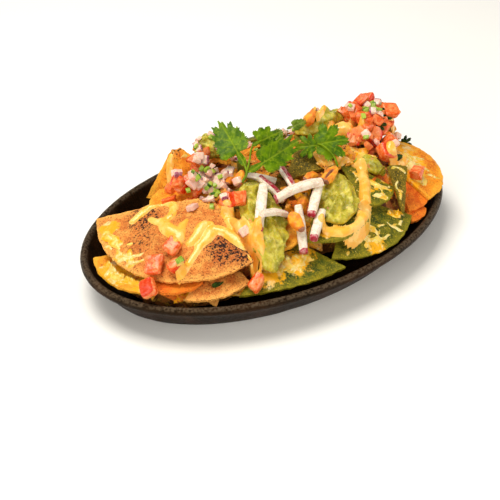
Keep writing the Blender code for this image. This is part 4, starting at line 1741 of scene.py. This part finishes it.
@dataclass
class Leaf:
    """A coriander leaf: where its stem joins it, where its tip is and how its lobes spread."""

    base: Place
    tip: Place
    lobes: tuple[Place, ...]  # direction in degrees, reach and half spread in degrees
    facing: Place = (-0.41, -0.66, 0.62)
    curl: float = 0.12
    fold: float = 0.25
    notch: float = 0.42  # how near the middle its outline comes between two lobes
    teeth: int = 46
    bite: float = 0.13
    middle: float = 0.42  # where the lobes meet, as a share of its length
    seed: float = 0.0
    rings: int = 14
    steps: int = 180  # of its outline
    thickness: float = 0.4
    vein: float = 0.5

    def add_to(self, clay: Clay) -> None:
        """Adds the leaf to its kind's piece.

        Args:
            clay: the leaves of its kind.
        """
        base, tip = Vector(self.base), Vector(self.tip)
        length = (tip - base).length
        reach = length * (1 - self.middle)

        def lift(x: float, y: float) -> float:
            """The leaf's fold along its middle, its droop and its crinkle."""
            u = Vector((x, y, self.seed * 9))
            droop = -self.curl * (x * x + 0.6 * y * y) / reach
            crinkle = 0.09 * reach * noise.noise(u / (0.45 * reach))
            return droop + self.fold * abs(y) * 0.5 + crinkle + 0.25 * noise.noise(u / 2.2)

        points, faces, _ = fan(self.outline(reach), self.rings, self.thickness, lift)
        veins = self.veins(points, reach, length)
        frame = aim(base.lerp(tip, self.middle), tip - base, Vector(self.facing))
        clay.add([frame @ p for p in points], faces, vein=veins)

    def outline(self, reach: float) -> list[Vector]:
        """Its toothed rim, with the narrow part towards the stem.

        Args:
            reach: how far the longest lobe goes.

        Returns:
            The rim's points.
        """
        stem = (180.0, self.middle / (1 - self.middle), 14.0)
        found = []
        for k in range(self.steps):
            a = 360 * k / self.steps
            r = self.notch * (1 - 0.45 * smooth(1 - abs(a - 180) / 50))
            for angle, share, spread in (*self.lobes, stem):
                t = abs((a - angle + 180) % 360 - 180) / spread
                if t < 1:
                    r = max(r, self.notch + (share - self.notch) * (1 - t**1.6) ** 0.7)
            saw = (k * self.teeth / self.steps + 0.3 * noise.noise(Vector((k * 0.2, self.seed, 0)))) % 1
            r *= 1 - self.bite * abs(2 * saw - 1) ** 1.3 * (1 if abs(a - 180) > 22 else 0)
            found.append(around(a) * r * reach)
        return found

    def veins(self, points: Sequence[Vector], reach: float, length: float) -> list[float]:
        """The mask of its midrib and of a rib to each side lobe.

        Args:
            points: its points in its own plane.
            reach: how far the longest lobe goes.
            length: the leaf's length.

        Returns:
            One value for each point.
        """
        ends = [around(angle) * share * reach for angle, share, _ in self.lobes[1:]]
        ribs = []
        for end in ends:
            root = Vector((max(-self.middle * length, end.x - abs(end.y)), 0, 0))
            ribs.append((root, end - root))
        found = []
        for p in points:
            flat, near = Vector((p.x, p.y, 0)), abs(p.y)
            for root, rib in ribs:
                t = min(1.0, max(0.0, (flat - root).dot(rib) / rib.length_squared))
                near = min(near, (flat - root - rib * t).length + 0.2 + 0.3 * t)
            found.append(math.exp(-((near / self.vein) ** 2)))
        return found


@dataclass
class Sprig:
    """The coriander: its leaves and its stems."""

    name: str
    finish: Finish
    leaves: tuple[Leaf, ...]
    stems: tuple[tuple[tuple[Place, ...], float], ...] = ()  # the places each passes, and its radius

    def build(self, heap: Heap) -> bpy.types.Object:
        """Makes the sprig and lays it.

        Args:
            heap: what is laid so far.

        Returns:
            Its piece.
        """
        clay = Clay()
        for leaf in self.leaves:
            leaf.add_to(clay)
        for places, width in self.stems:
            points, faces = tube(curve(places), width, width * 0.7)
            clay.add(points, faces, vein=0.55)
        piece = clay.piece(self.name, self.finish, "leaf", 70)
        heap.lay(piece)
        return piece


LONG = (
    (2.0, 1.0, 12.0),
    (18.0, 0.94, 13.0),
    (36.0, 0.76, 15.0),
    (58.0, 0.6, 18.0),
    (86.0, 0.54, 20.0),
    (116.0, 0.58, 20.0),
    (-16.0, 0.84, 13.0),
    (-36.0, 0.62, 16.0),
    (-60.0, 0.5, 18.0),
    (-88.0, 0.46, 20.0),
    (-118.0, 0.44, 20.0),
)
SLIM = (
    (0.0, 1.0, 10.0),
    (11.0, 0.88, 10.0),
    (24.0, 0.7, 13.0),
    (43.0, 0.5, 16.0),
    (74.0, 0.36, 22.0),
    (112.0, 0.34, 24.0),
    (-12.0, 0.86, 10.0),
    (-25.0, 0.66, 13.0),
    (-44.0, 0.48, 16.0),
    (-76.0, 0.35, 22.0),
    (-114.0, 0.34, 24.0),
)
BROAD = (
    (0.0, 1.0, 22.0),
    (38.0, 0.8, 20.0),
    (78.0, 0.66, 22.0),
    (118.0, 0.7, 20.0),
    (-38.0, 0.76, 20.0),
    (-78.0, 0.5, 22.0),
    (-118.0, 0.46, 20.0),
)
FAN = (
    (0.0, 1.0, 22.0),
    (44.0, 0.92, 20.0),
    (84.0, 0.8, 20.0),
    (-44.0, 0.94, 20.0),
    (-84.0, 0.76, 20.0),
    (124.0, 0.4, 20.0),
    (-124.0, 0.4, 20.0),
)


@dataclass
class Lamp:
    """A soft square light: its name, where it hangs, what it shines on, its side and its power in watts."""

    name: str
    place: Place
    target: Place
    size: float
    power: float
    colour: Colour = (1.0, 0.955, 0.87)

    def hang(self) -> None:
        """Makes the light."""
        light = bpy.data.lights.new(self.name, "AREA")
        light.size, light.energy, light.color = self.size * MM, self.power, self.colour
        made = bpy.data.objects.new(self.name, light)
        made.location = Vector(self.place) * MM
        made.rotation_euler = (Vector(self.place) - Vector(self.target)).to_track_quat("Z", "Y").to_euler()
        bpy.context.scene.collection.objects.link(made)


@dataclass
class Studio:
    """The plain floor, the soft light and the camera."""

    target: Place = (-16.5, -1.8, 0.0)
    distance: float = 700.0
    azimuth: float = -31.9
    elevation: float = 38.5
    lens: float = 73.4
    sensor: float = 36.0
    floor_size: float = 6000.0
    air: Colour = (1.0, 0.97, 0.91)
    air_strength: float = 0.3
    lamps: tuple[Lamp, ...] = (
        Lamp("overhead", (-160, 240, 900), (0, 0, 20), 560, 8.0),
        Lamp("front_left", (-900, -500, 520), (0, 0, 20), 600, 5.4),
        Lamp("front_right", (700, -700, 420), (0, 0, 30), 600, 3.9),
    )

    def build(self) -> None:
        """Makes the floor, the lights and the camera, and keeps strong yellows strong."""
        self.lay_floor()
        for lamp in self.lamps:
            lamp.hang()
        world = bpy.data.worlds.new("studio")
        world.use_nodes = True
        world.node_tree.nodes["Background"].inputs["Color"].default_value = (*self.air, 1.0)
        world.node_tree.nodes["Background"].inputs["Strength"].default_value = self.air_strength
        bpy.context.scene.world = world
        self.place_camera()
        bpy.context.scene.view_settings.view_transform = "Standard"

    def lay_floor(self) -> None:
        """Makes the floor, which stands by and isn't part of the food."""
        body = bmesh.new()
        bmesh.ops.create_grid(body, x_segments=8, y_segments=8, size=self.floor_size / 2 * MM)
        mesh = bpy.data.meshes.new("floor")
        body.to_mesh(mesh)
        body.free()
        mesh.materials.append(PaleFloor("pale_floor").material())
        floor = bpy.data.objects.new("floor", mesh)
        bpy.context.scene.collection.objects.link(floor)

    def place_camera(self) -> None:
        """Makes the camera and gives it to the scene."""
        camera = bpy.data.cameras.new("camera")
        camera.sensor_width, camera.lens = self.sensor, self.lens
        turn, rise = math.radians(self.azimuth), math.radians(self.elevation)
        back = Vector((math.sin(turn) * math.cos(rise), -math.cos(turn) * math.cos(rise), math.sin(rise)))
        view = bpy.data.objects.new("camera", camera)
        view.location = (Vector(self.target) + back * self.distance) * MM
        view.rotation_euler = back.to_track_quat("Z", "Y").to_euler()
        bpy.context.scene.collection.objects.link(view)
        bpy.context.scene.camera = view


CHIPS = (
    Chip("chip_green_low", Dough.SPINACH, cheese=(Spot(34, -74, 11, 0.7), Spot(66, -54, 8, 0.6))),
    Chip(
        "chip_green_front",
        Dough.SPINACH,
        cheese=(Spot(-40, -60, 16, 0.7), Spot(-20, -62, 14, 0.7), Spot(-8, -58, 10, 0.6)),
    ),
    Chip("chip_tan_front", Dough.TOASTED),
    Chip("chip_left_end", Dough.CORN, cheese=(Spot(-118, -8, 16, 1.0), Spot(-108, -28, 12, 0.8))),
    Chip("chip_red_front", Dough.CHILLI),
    Chip("chip_orange_low", Dough.CHILLI),
    Chip("chip_orange_mid", Dough.CHILLI),
    Chip(
        "chip_orange_right",
        Dough.CORN,
        cheese=(Spot(102, -20, 18, 1.0), Spot(92, -34, 13, 0.9), Spot(108, -4, 14, 1.0)),
    ),
    Chip("chip_middle_front", Dough.CORN, cheese=(Spot(-20, -40, 20, 0.5),)),
    Chip(
        "chip_green_right",
        Dough.SPINACH,
        cheese=(Spot(60, -22, 12, 0.5), Spot(56, -38, 9, 0.5), Spot(72, -34, 9, 0.5)),
    ),
    Chip("chip_green_dish", Dough.SPINACH, cheese=(Spot(4, -58, 9, 0.7),)),
    Chip("chip_upright", Dough.OLIVE),
    Chip("chip_under_salsa", Dough.CORN),
    Chip(
        "chip_toasted_front",
        Dough.TOASTED,
        char=(
            Spot(-88, 12, 15, 0.85),
            Spot(-98, -4, 16, 0.45),
            Spot(-60, -42, 16, 0.85),
            Spot(-52, -50, 12, 0.9),
            Spot(-74, -2, 34, 0.25),
        ),
        cheese=(Spot(-108, 22, 9, 0.9),),
        levels=4,
        blister=0.5,
    ),
    Chip("chip_back_left", Dough.CORN, char=(Spot(-44, 48, 8, 0.6),)),
    Chip("chip_dark_back", Dough.OLIVE),
    Chip("chip_far_left", Dough.CORN),
    Chip("chip_far_middle", Dough.SPINACH),
    Chip("chip_far_right", Dough.CORN, char=(Spot(90, 50, 14, 0.6),)),
    Chip("chip_behind_guacamole", Dough.CORN),
    Chip("chip_mound", Dough.CORN, char=(Spot(104, 8, 8, 0.5),)),
)

LOOSE_CHIPS = (
    LooseChip((-96, -38, 27), 22, 20, (-0.25, -0.35), Dough.CHILLI),
    LooseChip((-84, -45, 26), 23, 75, (-0.1, -0.4), Dough.CHILLI),
    LooseChip((-72, -51, 27), 22, 130, (-0.1, -0.35), Dough.TOASTED),
    LooseChip((-60, -56, 27), 21, 200, (0.0, -0.3), Dough.TOASTED),
    LooseChip((-104, -28, 29), 20, 250, (-0.3, -0.2), Dough.CORN),
)

DOLLOPS = (
    Dollop("guacamole_middle", heading=72, lump=2.0, ridge=5.0),
    Dollop("guacamole_right", heading=60, lump=1.8, ridge=4.5),
    Dollop("guacamole_back", heading=10, lump=2.6, ridge=4.0),
    Dollop("guacamole_left", heading=-20, lump=1.8, ridge=3.0),
    Dollop("green_salsa", SALSA_GREEN, heading=-55, lump=1.6, ridge=2.5),
)

SAUCE_POUR = Pour(
    "poured_sauce",
    SAUCE,
    "corn",
    (
        Stream(
            ((-94, 15), (-86, 17), (-78, 18), (-71, 15), (-68, 8), (-74, 1), (-82, 1), (-85, 7)),
            (4, 5, 5, 4.6, 4.4, 4.2, 3.4),
        ),
        Stream(((-81, 1), (-81, -8), (-79, -17), (-84, -25)), (4.5, 7, 7, 3)),
        Stream(((-80, -18), (-73, -12), (-69, -10)), (7, 4, 2.5)),
        Stream(((-76, -27), (-69, -24), (-63, -20), (-58, -22)), (4, 5, 5, 3.5)),
        Stream(
            ((-73, -32), (-65, -30), (-59, -27), (-54, -31), (-51, -38), (-48, -46), (-44, -49)),
            (3.5, 6, 5.5, 6, 5),
        ),
        Stream(((-45, -20), (-44, -32), (-41, -41), (-43, -50), (-47, -56)), (5, 9, 9, 9, 6)),
        Stream(((-69, -31), (-76, -35), (-83, -38.5), (-88, -41), (-92, -43)), (3.5, 3.2, 3.4, 4, 3.4)),
        Stream(
            (
                (49, -10),
                (55, -10),
                (59, -14),
                (60, -21),
                (54, -33),
                (46, -44),
                (37, -56),
                (27, -64),
                (16, -65),
                (7, -60),
                (4, -56),
            ),
            (4, 4.5, 5, 5.5, 6, 6.5, 6.5, 5),
            0.8,
        ),
        Stream(((44, 7), (40, 0), (41, -7), (49, -10)), (4, 6, 7, 4)),
        Stream(((88, -20), (93, -18), (97, -17)), (8, 12, 7)),
        Stream(((-50, 45), (-52, 43), (-54, 38), (-56, 34)), (3.5, 3.5, 3)),
        Stream(((-18, 32), (-14, 28), (-12, 24)), (4, 4, 3)),
        Stream(((63, 14), (70, 12), (77, 9)), (9, 12, 9), 0.9),
        Stream(((99, 10), (103, 7), (106, 4)), (3, 5, 3)),
        Stream(((55, 26), (59, 29), (63, 30)), (4, 6, 4), 0.7),
    ),
    drape=1.1,
    spread=1.28,
    cliff=14.0,
)

CHEESE_POUR = Pour(
    "melted_cheese",
    CHEESE,
    "corn",
    (
        Stream(((-111, 24), (-112, 14), (-110, 4), (-104, -2)), (4, 8, 6, 3), 0.3),
        Stream(((-119, 0), (-120, -8), (-116, -20), (-109, -30)), (5, 7, 6, 4), 0.3),
        Stream(((-106, -4), (-112, -16), (-114, -26)), (3, 5, 3), 0.3),
        Stream(((-46, -56), (-32, -60), (-16, -62), (-4, -62)), (5, 8, 7, 4), 0.2),
        Stream(((50, -12), (54, -24), (60, -34), (66, -44)), (2, 4, 5, 3), 0.25),
        Stream(((64, -10), (72, -18), (80, -14)), (3, 6, 3), 0.25),
        Stream(((56, -46), (62, -56), (70, -52)), (3, 5, 3), 0.25),
        Stream(((96, -8), (102, -15), (105, -24)), (9, 12, 8), 0.25),
        Stream(((96, -34), (102, -38), (106, -34)), (4, 5, 4), 0.5),
        Stream(((28, -72), (36, -71), (43, -67)), (3, 5, 3), 0.2),
    ),
    drape=1.6,
    wander=1.5,
    thickness=1.6,
    holes=2.0,
    cliff=1.2,
)

DICE_TOMATO = (
    (-30, 34, 8, 62), (-58, 20, 9), (-58, 32, 8), (-41, 27, 8, 60), (-37, -20, 10), (-31, 13, 8),
    (-65, 19, 8), (-47, 14, 7), (99, 16, 12, 61), (105, 8, 11, 60), (83, 19, 11, 60), (84, 10, 11, 60),
    (76, 2, 9, 58), (69, 0, 8, 56), (94, -8, 11, 52), (90, 20, 9, 59), (91, 12, 9, 62), (96, 2, 8, 57),
    (88, 0, 8, 57), (108, 18, 8, 56), (79, 28, 8), (106, 30, 8), (98, -34, 9, 40), (30, 40, 8),
    (-8, 46, 8), (52, 46, 8), (12, 52, 7),
)
DICE_ONION = (
    (-57, 22, 6), (-61, -4, 6.5), (-38, 21, 6), (-28, 25, 6), (-15, 27, 6.5), (-41, 15, 6.5),
    (-36, 11, 6), (-28, 11, 6), (-42, 22, 5.5), (-45, 0, 6), (-32, 17, 6), (-46, 8, 5.5), (-33, 4, 5.5),
    (-29, -6, 5.5), (-50, 16, 5), (-24, 18, 5.5), (-37, 16, 5, 60), (-33, 20, 5, 61), (-39, 5, 5),
    (-48, 1, 4.5), (-22, 31, 5), (-44, -15, 5), (-43, -37, 7), (76, -3, 6.5), (102, 19, 6, 65),
    (88, 6, 5, 62), (94, 20, 5, 64), (94, -14, 5), (84, -6, 5), (40, 44, 5), (0, 48, 5), (64, 40, 5),
    (-30, 44, 5), (108, 0, 5), (20, 30, 5),
)
DICE_GREEN = (
    (-38, 17, 4.5), (-47, 17, 4.5), (-48, 11, 4.5), (-42, 0, 4), (-40, 4, 4), (-50, -10, 4),
    (-90, -40, 5), (-32, 10, 3.5), (98, 20, 4.5, 65), (88, 14, 4.5, 64), (104, 14, 3.5, 63),
    (80, 6, 4, 61), (92, 4, 4, 60), (74, -6, 4), (110, 14, 3.5), (-54, 26, 3), (-26, 20, 3),
    (-86, -33, 3), (60, -14, 3), (66, 34, 4), (10, 46, 4), (-12, 36, 4), (34, 34, 4),
)

CHEESE_PATCHES = (
    Shreds(60, -38, 22, 16, 24, 10, 1.8),
    Shreds(34, -66, 30, 6, 26, 8, 2.0),
    Shreds(-24, -62, 20, 6, 16, 8, 2.0),
    Shreds(-113, -8, 7, 22, 12, 10, 2.6),
    Shreds(104, -22, 10, 14, 16, 9, 2.8),
    Shreds(-4, -34, 18, 16, 12, 7),
    Shreds(60, 6, 16, 10, 14, 7, 2.6),
    Shreds(0, 48, 80, 14, 30),
)


def strings(patches: Sequence[Shreds], seed: int) -> tuple[Stream, ...]:
    """The cheese strings of several patches, as streams."""
    chance = random.Random(seed)
    return tuple(stream for patch in patches for stream in patch.streams(chance))


CHEESE_STRINGS = Pour(
    "cheese_strings",
    CHEESE_PALE,
    "corn",
    strings(CHEESE_PATCHES, 17),
    spacing=0.65,
    drape=0.8,
    wander=0.5,
    thickness=1.0,
    cliff=1.1,
)

SMALL_DICE = (
    Dice(
        "small_tomato",
        TOMATO,
        "tomato",
        DICE_TOMATO,
        shape=(1.0, 0.85, 0.65),
        skew=0.2,
        skin=0.5,
        seed=5,
        fields=(
            Field(-44, 16, 18, 12, 10, 4, 7),
            Field(88, 12, 20, 14, 30, 6, 10, 60),
            Field(78, -2, 12, 8, 10, 5, 8),
        ),
    ),
    Dice(
        "red_onion",
        ONION,
        "radish",
        DICE_ONION,
        shape=(1.0, 0.85, 0.5),
        skew=0.12,
        curl=0.5,
        skin=0.45,
        seed=8,
        fields=(
            Field(-38, 14, 15, 15, 34, 5, 8),
            Field(88, 10, 18, 14, 3, 4, 6, 61),
            Field(0, 40, 60, 12, 14, 4, 6),
        ),
    ),
    Dice(
        "green_onion",
        SPRING,
        "spinach",
        DICE_GREEN,
        shape=(1.0, 0.7, 0.4),
        skew=0.12,
        curl=0.6,
        skin=0.5,
        seed=9,
        fields=(
            Field(-40, 12, 16, 16, 12, 3, 4.5),
            Field(88, 10, 18, 14, 8, 3, 5, 62),
            Field(0, 40, 60, 12, 12, 3, 5),
        ),
    ),
)

SPRIGS = (
    Sprig(
        "coriander_right",
        LEAF,
        (
            Leaf(
                (34, 0, 67),
                (58, -10, 70),
                FAN,
                facing=(-0.35, -0.5, 0.8),
                notch=0.5,
                middle=0.3,
                curl=0.2,
                seed=4,
            ),
            Leaf((38, -3, 67), (24, 8, 65), FAN, facing=(-0.35, -0.6, 0.7), curl=0.3, middle=0.35, seed=5),
        ),
        ((((40, -21, 59.5), (41, -14, 64), (39, -6, 67.5), (37, -1, 67.8)), 0.8),),
    ),
    Sprig(
        "pale_coriander",
        LEAF_PALE,
        (
            Leaf((30, 25, 68), (46, 23, 71), SLIM, curl=0.25, seed=6),
            Leaf((12, 17, 66), (27, 25, 71), SLIM, curl=0.4, fold=0.9, seed=7),
        ),
    ),
    Sprig(
        "dark_leaves",
        LEAF_DARK,
        (
            Leaf((92, 10, 66), (104, 2, 65), FAN, curl=0.3, fold=0.4, seed=8),
            Leaf((86, 4, 65), (96, -2, 64), FAN, curl=0.3, fold=0.5, seed=9),
            Leaf((86, -22, 50), (96, -22, 50), SLIM, curl=0.2, seed=10),
            Leaf((112, 6, 41), (122, -2, 38), FAN, curl=0.4, fold=0.6, seed=11),
            Leaf((-80, -54, 31), (-66, -58, 32), SLIM, curl=0.4, fold=0.9, seed=12),
        ),
    ),
)

CORIANDER = Sprig(
    "coriander_sprig",
    LEAF,
    (
        Leaf((-19, 0, 69.2), (-17, 37, 85.2), LONG, curl=0.08, notch=0.42, seed=1),
        Leaf((-8, 9, 76.2), (15, 11, 78.2), BROAD, curl=0.08, fold=0.1, notch=0.5, bite=0.1, seed=2),
        Leaf((-20, -6, 68.2), (24, -1, 76.2), SLIM, curl=0.02, notch=0.3, middle=0.36, seed=3),
    ),
    (
        (((-27, -9, 64.2), (-21, -5, 67.2), (-19, 2, 70.2), (-18.8, 10, 73.7)), 0.95),
        (((-21, -5, 67.2), (-15, 1, 72.2), (-8, 9, 75.2), (0, 9.7, 77)), 0.75),
        (((-21, -5, 67.2), (-14, -5, 69.2), (-6, -4, 70.8)), 0.75),
    ),
)


def main() -> None:
    """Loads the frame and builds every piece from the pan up."""
    logging.basicConfig(level=logging.INFO, format="%(message)s")
    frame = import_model()
    nodes, heap = frame["nodes"], Heap()
    Studio().build()
    Pan().build(nodes, heap)
    for seed, chip in enumerate(CHIPS):
        chip.build(nodes, heap, seed)
    Bed().build(nodes, heap)
    CHEESE_POUR.build(heap)
    CHEESE_STRINGS.build(heap)
    for seed, dollop in enumerate(DOLLOPS):
        dollop.build(nodes, heap, seed)
    CutTomatoes().build(nodes, heap)
    Radishes().build(nodes, heap)
    Kernels().build(nodes, heap)
    SAUCE_POUR.build(heap)
    for dice in SMALL_DICE:
        dice.build(heap)
    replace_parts(CORIANDER.build(heap), "coriander")
    for sprig in SPRIGS:
        sprig.build(heap)


if __name__ == "__main__":
    main()
